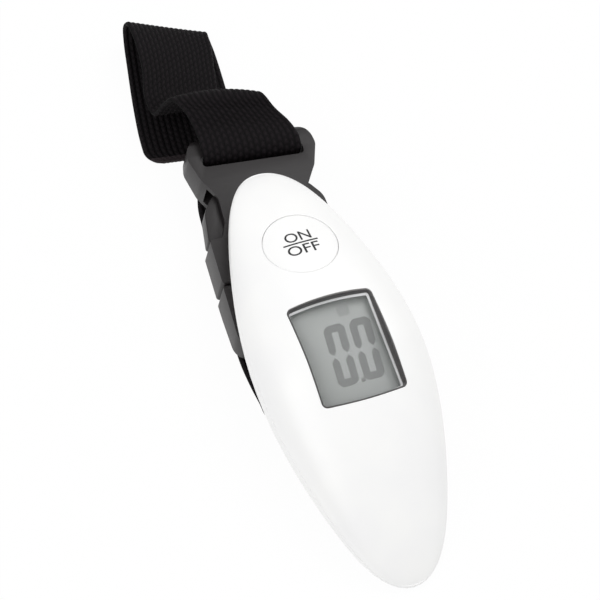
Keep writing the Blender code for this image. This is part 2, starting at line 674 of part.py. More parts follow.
def build_battery(body, materials):
    cover_top = LAND + COVER_THICK
    cell_low = cover_top + GAP
    prism_cell = [(0, cell_low), (BATTERY_RADIUS - 0.4, cell_low), (BATTERY_RADIUS, cell_low + 0.4),
                  (BATTERY_RADIUS, cell_low + BATTERY_THICK - 0.7),
                  (BATTERY_RADIUS - 1.2, cell_low + BATTERY_THICK), (0, cell_low + BATTERY_THICK)]
    turned("coin_cell", prism_cell, body, materials["steel"], 40, (0, BATTERY_Y))
    hub = empty("cover_axis", body, (0, BATTERY_Y, LAND))
    cup = BATTERY_RADIUS + GAP
    profile = [(0, 0), (COVER_RADIUS - 0.3, 0), (COVER_RADIUS, 0.3), (COVER_RADIUS, COVER_THICK),
               (cup + COVER_CUP_WALL, COVER_THICK), (cup + COVER_CUP_WALL, COVER_THICK + COVER_CUP_HEIGHT),
               (cup, COVER_THICK + COVER_CUP_HEIGHT), (cup, COVER_THICK), (0, COVER_THICK)]
    cover = turned("battery_cover", profile, hub, materials["case"], 48)
    floor = LAND + WALL
    for side in (0, 1):
        plan = cover_lug(side * math.pi)
        lug = prism(f"cover_lug_{side + 1}", plan, floor + GAP, floor + GAP + COVER_LUG_THICK, body)
        neck_plan = [(x * share, BATTERY_Y + (y - BATTERY_Y) * share) for x, y in plan
                     for share in [min(1.0, COVER_RADIUS / math.hypot(x, y - BATTERY_Y))]]
        neck = prism(f"cover_neck_{side + 1}", neck_plan, LAND + COVER_THICK * 0.5, floor + GAP * 2, body)
        join(cover, neck, lug)
    slot = rectangle(COIN_SLOT_LENGTH, COIN_SLOT_WIDTH, COIN_SLOT_WIDTH * 0.45, BATTERY_Y)
    cut(cover, prism("coin_slot", slot, LAND - 1, LAND + COIN_SLOT_DEPTH, body))
    under_board = BOARD_TOP - BOARD_THICK - GAP
    cell_top = cell_low + BATTERY_THICK
    half = CONTACT_WIDTH / 2
    y0 = BATTERY_Y + 1
    spring = [(y0 - 3, cell_top + GAP + 0.6), (y0, cell_top + GAP), (BOARD_Y0 + 1.5, under_board - 1.2),
              (BOARD_Y0 + 2, under_board), (BOARD_Y0 + 6, under_board)]
    prism("battery_contact_negative", ribbon(spring), -half, half, body, materials["contact"], "X")
    edge_y = BATTERY_Y + BATTERY_RADIUS + GAP + CONTACT_THICK
    clip = [(edge_y, cell_top - 1.6), (edge_y, under_board - 0.6), (edge_y + 0.6, under_board),
            (edge_y + 5, under_board)]
    prism("battery_contact_positive", ribbon(clip), half + 1.5, half + 1.5 + CONTACT_WIDTH, body,
          materials["contact"], "X")


def ribbon(route):
    # A thin strip's side view along a bent line, thickened downwards.
    line = [Vector(spot) for spot in route]
    lower = []
    for index, spot in enumerate(line):
        along = line[min(index + 1, len(line) - 1)] - line[max(index - 1, 0)]
        away = Vector((along.y, -along.x)).normalized()
        lower.append(spot + away * CONTACT_THICK)
    return [tuple(spot) for spot in line] + [tuple(spot) for spot in reversed(lower)]


def build_case_screws(body, materials):
    for index, (x, y) in enumerate(CASE_SCREW_SPOTS):
        base = case_screw_base(x, y)
        length = front_boss_low(y) + CASE_SCREW_BITE - base - CASE_SCREW_HEAD
        screw(f"case_screw_{index + 1}", body, materials["steel"], (x, y, base),
              CASE_SCREW_HEAD_RADIUS, CASE_SCREW_HEAD, CASE_SCREW_RADIUS, length, False)


def mirrored(half):
    # A closed outline from its +X side, listed from the lower end to the upper one.
    return half + [(-x, y, r) for x, y, r in reversed(half)]


def build_socket(buckle, materials):
    w, p = SOCKET_HALF_WIDTH, PANEL_HALF_WIDTH
    plan = mirrored([(w - 0.4, -SOCKET_IN, 1.2), (w, -WINDOW_END, 1.0), (p + 1.5, -WINDOW_END, 0.8),
                     (p, -WINDOW_END + 4, 3), (p, -WINDOW_TOP - 3, 3), (w - 1, -WINDOW_TOP + 1, 2.5),
                     (w, 2, 4), (w - 0.6, SOCKET_OUT, 5)])
    t, e = SOCKET_HALF_THICK, SOCKET_END_HALF_THICK
    side = filleted([(-SOCKET_IN, -t, 1.0), (-WINDOW_TOP, -t, 8), (SOCKET_OUT, -e, 2.4),
                     (SOCKET_OUT, e, 2.4), (-WINDOW_TOP, t, 8), (-SOCKET_IN, t, 1.0)])
    socket = prism("buckle_socket", filleted(plan), -2 * t, 2 * t, buckle, materials["buckle"])
    keep(socket, prism("socket_side", side, -2 * w, 2 * w, buckle, None, "X"))
    soften(socket, BUCKLE_EDGE)
    mouth = rectangle(2 * MOUTH_HALF_WIDTH, 2 * MOUTH_DEPTH, 1.5, -SOCKET_IN)
    slot = rectangle(2 * WEB_SLOT_HALF_WIDTH, WEB_SLOT, 1.2, WEB_SLOT / 2)
    cut(socket, prism("mouth_cutter", mouth, -MOUTH_HALF_HEIGHT, MOUTH_HALF_HEIGHT, buckle),
        prism("web_slot_cutter", slot, -2 * t, 2 * t, buckle))


def build_plug(buckle, materials):
    w, e, top = PLUG_HALF_WIDTH, PLUG_END_HALF_WIDTH, -SOCKET_IN - GAP
    plan = mirrored([(e, -PLUG_OUT, 5), (w, top, 1.2)])
    t, thin = SOCKET_HALF_THICK, PLUG_END_HALF_THICK
    side = filleted([(-PLUG_OUT, -thin, 2.2), (top - 5, -t, 4), (top, -t, 1), (top, t, 1), (top - 5, t, 4),
                     (-PLUG_OUT, thin, 2.2)])
    plug = prism("buckle_plug", filleted(plan), -2 * t, 2 * t, buckle, materials["buckle"])
    keep(plug, prism("plug_side", side, -2 * w, 2 * w, buckle, None, "X"))
    soften(plug, BUCKLE_EDGE)
    slot_y = -PLUG_OUT + PLUG_BAR + WEB_SLOT / 2
    cut(plug, prism("plug_slot_cutter", rectangle(2 * WEB_SLOT_HALF_WIDTH, WEB_SLOT, 1.2, slot_y),
                    -2 * t, 2 * t, buckle))
    end = rectangle(2 * WEB_SLOT_HALF_WIDTH, 2 * PLUG_BAR + WEB_SLOT, 0.8, -PLUG_OUT)
    cut(plug, prism("plug_end_cutter", end, -2 * t, 2 * t, buckle))
    bar = rectangle(PLUG_BAR, 2 * PLUG_BAR_HALF_THICK, 1.6, 0, -PLUG_OUT + PLUG_BAR / 2)
    reach = WEB_SLOT_HALF_WIDTH + 0.8
    join(plug, prism("web_bar", bar, -reach, reach, buckle, None, "X"))
    tip = GUIDE_HALF_WIDTH
    guide = filleted([(tip, top - 3, 0), (tip, -GUIDE_TIP - 4, 3), (tip * 0.5, -GUIDE_TIP, 1),
                      (-tip * 0.5, -GUIDE_TIP, 1), (-tip, -GUIDE_TIP - 4, 3), (-tip, top - 3, 0)])
    join(plug, prism("guide_tongue", guide, -GUIDE_HALF_THICK, GUIDE_HALF_THICK, buckle))


def build_latch_arm(side, buckle, materials):
    # Outline for the +X arm, from its root: stem, catch, finger shoulder, tip and inner side.
    root, outer = -SOCKET_IN, MOUTH_HALF_WIDTH - 0.4
    inner, catch = outer - ARM_THICK, -WINDOW_END + 0.4
    half = [(inner, root, 0.3), (outer, root, 0.3), (outer, catch, 0.6), (ARM_SHOULDER, catch, 0.8),
            (ARM_SHOULDER - 0.9, catch + 8.5, 6), (outer - 1, -ARM_TIP, 1.6), (inner - 0.8, -ARM_TIP - 1, 1.2),
            (inner - 0.2, catch - 2, 6)]
    pivot = Vector((side * (inner + outer) / 2, root, 0))
    corners = [(side * x, y, r) for x, y, r in half]
    if side < 0:
        corners.reverse()
    name = "latch_arm_right" if side > 0 else "latch_arm_left"
    hinge = empty(f"{name}_hinge", buckle, pivot)
    outline = [(x - pivot.x, y - pivot.y) for x, y in filleted(corners)]
    arm = prism(name, outline, -ARM_HALF_THICK, ARM_HALF_THICK, hinge, materials["buckle"])
    soften(arm, 0.5)


def web_edges(stations):
    # Each station is (left x, left y, left z, right x, right y, right z).
    return [spot[:3] for spot in stations], [spot[3:] for spot in stations]


def level(x, y, z):
    half = WEB_WIDTH / 2
    return (x - half, y, z, x + half, y, z)


def build_straps(table, to_table, materials):
    # Routes lie in the table's frame, turned with the buckle: Y outwards from the web slot, Z above the table.
    bar_y, bar_z = -PLUG_OUT + PLUG_BAR / 2, buckle_height(-PLUG_OUT + PLUG_BAR / 2)
    loop = WEB_THICK / 2 + GAP
    left, right = -WEB_WIDTH / 2 - PIN_SIDE_PLAY, WEB_WIDTH / 2 - PIN_SIDE_PLAY
    pin_left, pin_right = to_table @ Vector((left, 0, PIN_Z)), to_table @ Vector((right, 0, PIN_Z))
    slot_left, slot_right = to_table @ Vector((left, SLOT_Y1, LAND)), to_table @ Vector((right, SLOT_Y1, LAND))
    round_pin = PIN_RADIUS + loop

    def at_pin(angle):
        y = round_pin * math.cos(math.radians(angle))
        z = round_pin * math.sin(math.radians(angle))
        return (pin_left.x, pin_left.y + y, pin_left.z + z, pin_right.x, pin_right.y + y, pin_right.z + z)

    def at_bar(angle):
        across, rise = math.cos(math.radians(angle)), math.sin(math.radians(angle))
        y = (PLUG_BAR / 2 + loop) * math.copysign(abs(across) ** 0.8, across)
        z = (PLUG_BAR_HALF_THICK + loop) * math.copysign(abs(rise) ** 0.8, rise)
        return level(BAR_SIDE_PLAY, bar_y + y, bar_z + z)

    under = loop + 0.15
    passing = (slot_left.x, slot_left.y + 0.4, slot_left.z - under,
               slot_right.x, slot_right.y + 0.4, slot_right.z - under)
    bar_turn = [at_bar(angle) for angle in range(-170, 101, 30)]
    leaving = level(2 * BAR_SIDE_PLAY, -PLUG_OUT - 0.6, (bar_turn[-1][2] + passing[2]) / 2)
    pin_turn = [at_pin(angle) for angle in range(70, 246, 25)]
    strap_band("anchor_strap", *web_edges(bar_turn + [leaving, passing] + pin_turn), table, materials["web"], 3)

    floor = WEB_THICK / 2 + TABLE_CLEAR
    load = [at_pin(268), at_pin(290), level(3.4, -59, 5.6), level(2.6, -54.5, 3.0), level(1.8, -49, floor + 0.5),
            level(1.2, -44, floor), level(0.2, -34, floor), level(-1.0, -22, floor), level(-1.4, -11, floor),
            level(-1.2, -5, floor + 0.1), level(-0.7, -1.6, floor + 0.7), level(-0.2, 0.6, floor + 2.0)]
    strap_band("load_strap", *web_edges(load), table, materials["web"])

    slot_y = WEB_SLOT / 2 + 0.2
    over = buckle_height(SOCKET_OUT / 2) + SOCKET_END_HALF_THICK + WEB_THICK / 2 + 1.3
    upper = floor + WEB_THICK + GAP
    tail = [level(0, slot_y - 0.3, floor + 3.1), level(0, slot_y, 8), level(0, slot_y + 0.1, over - 1.4),
            level(-0.2, slot_y + 2.2, over + 0.3),
            (-13.2, 9, over + 1.2, 11.8, 8.6, over + 1.1),
            (-15.2, 13.5, over + 2.1, 9.7, 12.2, over + 2.0),
            (-17.0, 17.0, over + 1.8, 7.9, 15.2, over + 1.4),
            (-19.2, 18.4, over - 1.0, 5.6, 18.0, over - 3.8),
            (-20.6, 19.6, over - 3.2, 2.8, 21.4, over - 9.0),
            (-20.9, 24.0, over - 3.9, 0.9, 26.0, upper),
            (-20.9, 31.0, over - 3.7, 0.7, 33.0, upper),
            (-20.9, 38.0, over - 3.4, 1.0, 39.5, upper),
            (-21.2, 43.4, over - 5.0, 1.2, 42.4, upper - 0.2),
            (-21.4, 45.6, over - 8.2, 1.4, 43.4, (upper + floor) / 2),
            (-22.0, 43.6, floor + 1.6, 1.6, 42.4, floor + 0.15),
            (-22.6, 38.0, floor, 2.0, 38.5, floor),
            (-22.8, 28.0, floor, 2.2, 28.0, floor),
            (-22.8, 18.0, floor, 2.2, 18.0, floor),
            (-22.6, 9.6, floor, 2.3, 8.8, floor)]
    strap_band("strap_tail", *web_edges(tail), table, materials["web"])


def buckle_height(y):
    return BUCKLE_AT[2] + y * math.tan(BUCKLE_PITCH)


def settle(root):
    # Stand the finished assembly on Z = 0, centred over the origin.
    bpy.context.view_layer.update()
    shown = bpy.context.evaluated_depsgraph_get()
    corners = []
    for item in bpy.data.objects:
        if item.type in {"MESH", "CURVE"} and not item.hide_render:
            read = item.evaluated_get(shown)
            mesh = read.to_mesh()
            corners += [read.matrix_world @ vertex.co for vertex in mesh.vertices]
            read.to_mesh_clear()
    low = Vector([min(c[i] for c in corners) for i in range(3)])
    high = Vector([max(c[i] for c in corners) for i in range(3)])
    root.location -= Vector(((low.x + high.x) / 2, (low.y + high.y) / 2, low.z))
    bpy.context.view_layer.update()


def main():
    clear_scene()
    materials = {
        "case": finish("white_abs", (0.90, 0.90, 0.89), 0.35),
        "bezel": finish("grey_bezel", (0.08, 0.075, 0.075), 0.35),
        "lens": finish("clear_acrylic", (0.85, 0.88, 0.88), 0.08),
        "lcd": finish("lcd_glass", (0.37, 0.39, 0.37), 0.25),
        "holder": finish("natural_abs", (0.75, 0.75, 0.73), 0.5),
        "zebra": finish("elastomer", (0.55, 0.35, 0.38), 0.7),
        "board": finish("green_board", (0.03, 0.18, 0.07), 0.4),
        "chip": finish("black_epoxy", (0.02, 0.02, 0.02), 0.35),
        "plunger": finish("red_nylon", (0.45, 0.05, 0.04), 0.45),
        "beam": finish("aluminium", (0.62, 0.63, 0.65), 0.35, 1.0),
        "steel": finish("zinc_steel", (0.55, 0.56, 0.58), 0.3, 1.0),
        "gauge": finish("gauge_foil", (0.55, 0.38, 0.12), 0.4),
        "lead": finish("red_lead", (0.4, 0.03, 0.03), 0.5),
        "contact": finish("spring_bronze", (0.65, 0.5, 0.28), 0.3, 1.0),
        "buckle": finish("grey_acetal", (0.045, 0.041, 0.041), 0.45),
        "web": finish("black_webbing", (0.008, 0.007, 0.008), 0.8),
    }
    root = empty("scale_root", None)
    body = empty("body_frame", root, (0, 0, body_height()), (BODY_TILT, 0, 0))
    table = empty("table_frame", root, (BUCKLE_AT[0], BUCKLE_AT[1], 0), (0, 0, BUCKLE_YAW))
    buckle = empty("buckle_frame", table, (0, 0, BUCKLE_AT[2]), (BUCKLE_PITCH, 0, 0))
    whole = leaf_solid("leaf_whole", 0.0, body)
    core = leaf_solid("leaf_core", WALL / 2, body)
    build_front_shell(body, core, materials)
    build_back_shell(body, core, materials)
    build_display(body, materials)
    build_button(body, whole, materials)
    build_load_cell(body, materials)
    build_anchor(body, materials)
    build_battery(body, materials)
    build_case_screws(body, materials)
    build_socket(buckle, materials)
    build_plug(buckle, materials)
    for side in (-1, 1):
        build_latch_arm(side, buckle, materials)
    yawed = Matrix.Rotation(-BUCKLE_YAW, 4, "Z") @ Matrix.Translation((-BUCKLE_AT[0], -BUCKLE_AT[1], 0))
    tilted = Matrix.Translation((0, 0, body_height())) @ Matrix.Rotation(BODY_TILT, 4, "X")
    build_straps(table, yawed @ tilted, materials)
    settle(root)


def body_height():
    # Height of the body frame that lets the tip's keel rest on the table.
    shares = [-1 + step / 400 for step in range(400)]
    lows = []
    for share in shares:
        back = max(LAND, leaf_station(share, 0.0)[1])
        lows.append(share * BODY_LENGTH / 2 * math.sin(BODY_TILT) + back * math.cos(BODY_TILT))
    return -min(lows)


main()
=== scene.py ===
import bpy
import json
import math
from mathutils import Matrix, Vector


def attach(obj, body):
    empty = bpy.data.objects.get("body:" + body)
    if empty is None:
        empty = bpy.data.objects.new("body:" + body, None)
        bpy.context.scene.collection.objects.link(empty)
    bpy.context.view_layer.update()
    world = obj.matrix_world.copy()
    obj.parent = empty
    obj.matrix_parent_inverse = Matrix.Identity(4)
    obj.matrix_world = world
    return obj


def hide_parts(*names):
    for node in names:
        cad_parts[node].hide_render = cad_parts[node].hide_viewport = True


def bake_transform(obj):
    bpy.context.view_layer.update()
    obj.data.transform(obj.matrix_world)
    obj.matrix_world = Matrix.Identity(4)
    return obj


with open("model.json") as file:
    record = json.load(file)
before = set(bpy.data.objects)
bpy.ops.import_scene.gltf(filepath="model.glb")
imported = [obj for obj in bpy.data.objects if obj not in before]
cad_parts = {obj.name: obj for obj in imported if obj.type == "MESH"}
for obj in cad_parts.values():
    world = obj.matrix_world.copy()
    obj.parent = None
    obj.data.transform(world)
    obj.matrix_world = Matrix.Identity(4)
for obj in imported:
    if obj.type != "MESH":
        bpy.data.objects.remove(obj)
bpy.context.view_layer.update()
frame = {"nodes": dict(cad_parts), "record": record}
nodes = frame["nodes"]
jointInfo = {joint["name"]: joint for joint in frame["record"]["behaviour"]["joints"]}
mm = 0.001
print("frame loaded:", len(nodes), "nodes")


# where the case, the buckle and the table lie, read from the joints

case = {"length": 111.3, "halfWidth": 21.45, "rim": 12.2, "crownRise": 11.9, "endHeight": 4.0,
        "waist": 0.327, "shoulder": 0.308, "ridgePower": 1.567, "ridgeRound": 0.8,
        "frontPower": 2.3, "land": 1.4, "wall": 2.0, "endInset": 1.5, "faceFrom": 1.0,
        "seam": 0.06, "lipInset": 0.14, "lipThick": 0.6, "lipHeight": 1.2, "rimSteps": 240,
        "segments": 128, "rings": 96, "coverY": -25.0}
lie = {"buckleRise": 8.7, "buckleTilt": 3.5, "latchRoot": 32.5}


def axesToPlace(right, out, origin):
    right, out = Vector(right).normalized(), Vector(out).normalized()
    ahead = out.cross(right)
    turn = Matrix((right, ahead, out)).transposed().to_4x4()
    return Matrix.Translation(origin) @ turn @ Matrix.Scale(mm, 4)


def findPlaces():
    cover = jointInfo["battery_cover_turn"]
    casePlace = axesToPlace((1, 0, 0), cover["axis"], (0, 0, 0))
    coverSpot = Vector((0, case["coverY"], case["land"]))
    casePlace.translation = Vector(cover["pos_m"]) - casePlace.to_3x3() @ coverSpot
    left, right = jointInfo["latch_left_squeeze"], jointInfo["latch_right_squeeze"]
    across = Vector(right["pos_m"]) - Vector(left["pos_m"])
    bucklePlace = axesToPlace(across, right["axis"], (0, 0, 0))
    middle = (Vector(right["pos_m"]) + Vector(left["pos_m"])) / 2
    bucklePlace.translation = middle - bucklePlace.to_3x3() @ Vector((0, -lie["latchRoot"], 0))
    tablePlace = axesToPlace((across.x, across.y, 0), (0, 0, 1), (0, 0, 0))
    slotEdge = bucklePlace.translation
    tablePlace.translation = Vector((slotEdge.x, slotEdge.y, slotEdge.z - lie["buckleRise"] * mm))
    return casePlace, bucklePlace, tablePlace


casePlace, bucklePlace, tablePlace = findPlaces()


# small modelling helpers, all in millimetres until a piece is settled

def startFrom(operator, name, **settings):
    if bpy.context.object and bpy.context.object.mode != "OBJECT":
        bpy.ops.object.mode_set(mode="OBJECT")
    bpy.ops.object.select_all(action="DESELECT")
    operator(**settings)
    piece = bpy.context.object
    piece.name = name
    piece.data.name = name
    return piece


def pick(piece):
    bpy.ops.object.select_all(action="DESELECT")
    piece.select_set(True)
    bpy.context.view_layer.objects.active = piece


def editAll(piece, *steps):
    pick(piece)
    bpy.ops.object.mode_set(mode="EDIT")
    bpy.ops.mesh.select_all(action="SELECT")
    for step in steps:
        step()
    bpy.ops.object.mode_set(mode="OBJECT")
    return piece


def faceOut(piece):
    return editAll(piece, lambda: bpy.ops.mesh.remove_doubles(threshold=0.0005),
                   lambda: bpy.ops.mesh.normals_make_consistent(inside=False))


def applyModifiers(piece):
    pick(piece)
    for modifier in list(piece.modifiers):
        bpy.ops.object.modifier_apply(modifier=modifier.name)
    return piece


def combine(piece, other, operation):
    step = piece.modifiers.new(operation.lower(), "BOOLEAN")
    step.operation = operation
    step.object = other
    step.solver = "EXACT"
    applyModifiers(piece)
    bpy.data.objects.remove(other, do_unlink=True)
    return piece


def roundEdges(piece, width, segments=3, angle=40):
    step = piece.modifiers.new("roundEdges", "BEVEL")
    step.width = width
    step.segments = segments
    step.limit_method = "ANGLE"
    step.angle_limit = math.radians(angle)
    step.use_clamp_overlap = True
    return applyModifiers(piece)


def settle(piece, place, body, slot, *replaced, smooth=35):
    piece.data.transform(place)
    if smooth:
        pick(piece)
        bpy.ops.object.shade_smooth_by_angle(angle=math.radians(smooth))
    if body:
        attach(piece, body)
    if replaced:
        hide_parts(*replaced)
    return piece


def roundedPath(corners, steps=8):
    # corners are (x, y, radius), each turned into a tangent arc
    path = []
    for index, (x, y, radius) in enumerate(corners):
        here = Vector((x, y))
        before = Vector(corners[index - 1][:2]) - here
        after = Vector(corners[(index + 1) % len(corners)][:2]) - here
        if radius == 0:
            path.append((x, y))
            continue
        half = before.angle(after) / 2
        inward = (before.normalized() + after.normalized()).normalized()
        centre = here + inward * radius / math.sin(half)
        reach = radius / math.tan(half)
        first = here + before.normalized() * reach - centre
        last = here + after.normalized() * reach - centre
        sweep = first.angle_signed(last)
        for step in range(steps + 1):
            spoke = first.copy()
            spoke.rotate(Matrix.Rotation(-sweep * step / steps, 2))
            path.append(tuple(centre + spoke))
    return path


def rectangle(width, length, radius, y=0.0, x=0.0, steps=8):
    w, h = width / 2, length / 2
    return roundedPath([(x + w, y - h, radius), (x + w, y + h, radius),
                        (x - w, y + h, radius), (x - w, y - h, radius)], steps)


def plate(name, path, low, high, sideways=False):
    # a filled outline drawn in plan (or from the side) and extruded
    piece = startFrom(bpy.ops.mesh.primitive_circle_add, name, vertices=len(path), fill_type="NGON")
    for vertex, (x, y) in zip(piece.data.vertices, path):
        vertex.co = (x, y, low)
    rise = {"value": (0, 0, high - low)}
    editAll(piece, lambda: bpy.ops.mesh.extrude_region_move(TRANSFORM_OT_translate=rise))
    if sideways:
        piece.data.transform(Matrix(((0, 0, 1, 0), (1, 0, 0, 0), (0, 1, 0, 0), (0, 0, 0, 1))))
    return faceOut(piece)


def loft(name, rings, closedEnds=True):
    # rings of equal length, joined one after the other
    count = len(rings[0])
    points = [point for ring in rings for point in ring]
    faces = []
    for row in range(len(rings) - 1):
        for i in range(count):
            j = (i + 1) % count
            faces.append((row * count + i, row * count + j, row * count + count + j, row * count + count + i))
    if closedEnds:
        last = (len(rings) - 1) * count
        faces += [tuple(range(count)), tuple(range(last, last + count))]
    mesh = bpy.data.meshes.new(name)
    mesh.from_pydata(points, [], faces)
    piece = bpy.data.objects.new(name, mesh)
    bpy.context.scene.collection.objects.link(piece)
    return piece


# the leaf that the case follows

def leafStation(share, inset=0.0):
    size = min(abs(share), 1.0)
    shape = math.sqrt(max(0.0, 1 - size**2)) * (1 - case["waist"] * size**2 + case["shoulder"] * size**4)
    ridge = (1 - size ** case["ridgePower"]) ** case["ridgeRound"] if size < 1 else 0.0
    rim = case["endHeight"] + (case["rim"] - case["endHeight"]) * ridge
    crown = rim + (case["crownRise"] - inset) * ridge
    return (case["halfWidth"] - inset) * shape, rim, crown


def leafPoint(share, angle, lift, inset=0.0):
    width, rim, crown = leafStation(share, inset)
    power = 2 / case["frontPower"]
    across = math.copysign(abs(math.cos(angle)) ** power, math.cos(angle))
    rise = abs(math.sin(angle)) ** power
    y = (case["length"] / 2 - case["endInset"] * inset) * share
    return Vector((width * across, y, rim + (crown - rim) * rise + lift))


def faceHeight(x, y):
    width, rim, crown = leafStation(2 * y / case["length"])
    across = min(abs(x) / max(width, 1e-6), 1.0)
    return rim + (crown - rim) * (1 - across ** case["frontPower"]) ** (1 / case["frontPower"])


def halfLeaf(name):
    # the front half of a sphere, pulled out to the leaf, with a wall whose inside is a smaller leaf
    piece = startFrom(bpy.ops.mesh.primitive_uv_sphere_add, name, segments=case["segments"],
                      ring_count=case["rings"], radius=1)
    editAll(piece, lambda: bpy.ops.mesh.bisect(plane_co=(0, 0, 0), plane_no=(0, 1, 0), clear_inner=True))
    lift = case["seam"]
    spots = []
    for vertex in piece.data.vertices:
        x, y, z = vertex.co
        angle = math.atan2(0.0 if abs(y) < 1e-6 else y, x)
        spots.append((z, angle))
        vertex.co = leafPoint(z, angle, lift)
    editAll(piece, lambda: bpy.ops.mesh.normals_make_consistent(inside=False))
    wall = piece.modifiers.new("wall", "SOLIDIFY")
    wall.thickness = case["wall"]
    wall.offset = -1
    applyModifiers(piece)
    count = len(spots)
    for index, vertex in enumerate(piece.data.vertices):
        share, angle = spots[index % count]
        outside = (vertex.co - leafPoint(share, angle, lift)).length < 0.01
        if not outside:
            vertex.co = leafPoint(share, angle, lift, case["wall"])
    return faceOut(piece)


window = {"y": 1.27, "width": 22.2, "length": 26.4, "corner": 1.3, "lip": 0.12, "arch": 0.8}
button = {"y": 31.5, "tilt": -17.9, "holeRadius": 9.32, "capRadius": 9.25, "lip": 0.16, "edge": 0.35,
          "dip": 0.03, "skirt": 2.4}
buttonPlace = (Matrix.Translation((0, button["y"], faceHeight(0, button["y"])))
               @ Matrix.Rotation(math.radians(button["tilt"]), 4, "X"))


def onFace(u, v):
    # the point of the face over a spot of the button's own plane, measured along its axis
    t = 0.0
    for _ in range(12):
        spot = buttonPlace @ Vector((u, v, t))
        t += (faceHeight(spot.x, spot.y) - spot.z) * 0.9
    return t


def windowPath(grow):
    # the window's outline, grown or shrunk, with both ends arched outwards
    w, h, r = window["width"] / 2 + grow, window["length"] / 2 + grow, max(window["corner"] + grow, 0.3)
    path = []
    for x, y in roundedPath([(w, -h, r), (w, h, r), (-w, h, r), (-w, -h, r)], 10):
        path.append((x, y))
        if abs(x - (w - r)) < 1e-6 and y > 0 or abs(x + (w - r)) < 1e-6 and y < 0:
            path += [(x - math.copysign(2 * (w - r) * i / 18, x), y) for i in range(1, 18)]
        if abs(x - w) < 1e-6 and y < 0 or abs(x + w) < 1e-6 and y > 0:
            path += [(x, y - math.copysign(2 * (h - r) * i / 18, y)) for i in range(1, 18)]
    arch = window["arch"]
    return [(x, y + window["y"] + math.copysign(arch * (1 - (x / w) ** 2) * abs(y) / h, y)) for x, y in path]


def lippedCutter(name, pathAt, heightAt, lip, low, high):
    # a cutter whose wall flares into a rounded lip just below the face
    last = math.radians(66)
    rings = [[(x, y, low) for x, y in pathAt(0.0)]]
    for step in range(6):
        turn = last * step / 5
        grow, drop = lip * (1 - math.cos(turn)), lip * (1 - math.sin(turn))
        rings.append([(x, y, heightAt(x, y) - drop) for x, y in pathAt(grow)])
    past = lip * (1 - math.cos(last)) + 1.0
    rings.append([(x, y, heightAt(x, y) - lip * (1 - math.sin(last)) + 1.0 / math.tan(last))
                  for x, y in pathAt(past)])
    rings.append([(x, y, high) for x, y in pathAt(past)])
    cutter = loft(name, rings)
    triangles = cutter.modifiers.new("triangles", "TRIANGULATE")
    triangles.quad_method = "FIXED"
    return faceOut(applyModifiers(cutter))


def holePath(grow):
    radius, steps = button["holeRadius"] + grow, 120
    turns = [2 * math.pi * step / steps for step in range(steps)]
    return [(radius * math.cos(turn), radius * math.sin(turn)) for turn in turns]


def rimPath(inset, lift):
    path = []
    for step in range(case["rimSteps"]):
        turn = 2 * math.pi * step / case["rimSteps"]
        width, rim, _ = leafStation(math.cos(turn), inset)
        y = (case["length"] / 2 - case["endInset"] * inset) * math.cos(turn)
        path.append((math.copysign(width, math.sin(turn)), y, rim + lift))
    return path


def buildSeamLip():
    # the front's tongue behind the parting line, which keeps the seam closed to the eye
    near, far, half = case["lipInset"], case["lipInset"] + case["lipThick"], case["lipHeight"] / 2
    rings = [rimPath(near, half), rimPath(far, half), rimPath(far, -half), rimPath(near, -half)]
    lip = faceOut(loft("caseLip", rings + rings[:1], False))
    return settle(lip, casePlace, "housing", "white_abs", smooth=40)


def keepShading(piece, model):
    # the cut face keeps the shading of the whole one, so no facet shows round the openings
    for each in (model, piece):
        pick(each)
        bpy.ops.object.shade_smooth_by_angle(angle=math.radians(16))
    group = piece.vertex_groups.new(name="face")
    aboveRim = [vertex.index for vertex in piece.data.vertices
                if vertex.co.z > leafStation(2 * vertex.co.y / case["length"])[1] + case["faceFrom"]]
    group.add(aboveRim, 1.0, "REPLACE")
    step = piece.modifiers.new("keepShading", "DATA_TRANSFER")
    step.vertex_group = group.name
    step.object = model
    step.use_loop_data = True
    step.data_types_loops = {"CUSTOM_NORMAL"}
    step.loop_mapping = "POLYINTERP_NEAREST"
    step.use_max_distance = True
    step.max_distance = 0.02
    applyModifiers(piece)
    piece.vertex_groups.clear()
    bpy.data.objects.remove(model, do_unlink=True)


def buildCase():
    front = halfLeaf("caseFront")
    whole = halfLeaf("caseWhole")
    combine(front, lippedCutter("windowCutter", windowPath, faceHeight, window["lip"], 8.0, 40.0), "DIFFERENCE")
    hole = lippedCutter("buttonCutter", holePath, onFace, button["lip"], -9.0, 9.0)
    hole.data.transform(buttonPlace)
    combine(front, hole, "DIFFERENCE")
    keepShading(front, whole)
    settle(front, casePlace, "housing", "white_abs", "front_shell", smooth=None)
    print("case front:", len(front.data.polygons), "faces")
    return front


def buildButton():
    steps = 96
    edge, radius = button["edge"], button["capRadius"]
    radii = [0.4, 2, 4, 6, 7.5, 8.6, radius - edge]
    radii += [radius - edge + edge * math.sin(math.radians(a)) for a in (18, 36, 54, 72, 90)]
    rings = []
    for r in radii:
        over = max(0.0, r - (radius - edge))
        drop = edge - math.sqrt(max(0.0, edge**2 - over**2))
        turns = [2 * math.pi * i / steps for i in range(steps)]
        spots = [(r * math.cos(a), r * math.sin(a)) for a in turns]
        rings.append([(u, v, onFace(u, v) - drop - button["dip"]) for u, v in spots])
    rings.append([(u, v, -button["skirt"]) for u, v, _ in rings[-1]])
    cap = faceOut(loft("powerButton", rings))
    cap.data.transform(buttonPlace)
    return settle(cap, casePlace, "button", "white_abs", "on_off_button", smooth=50)


legend = {"capHeight": 2.9, "onWidth": 6.6, "offWidth": 8.2, "gap": 0.62, "lineLength": 9.0, "lineWidth": 0.42,
          "ink": 0.02}


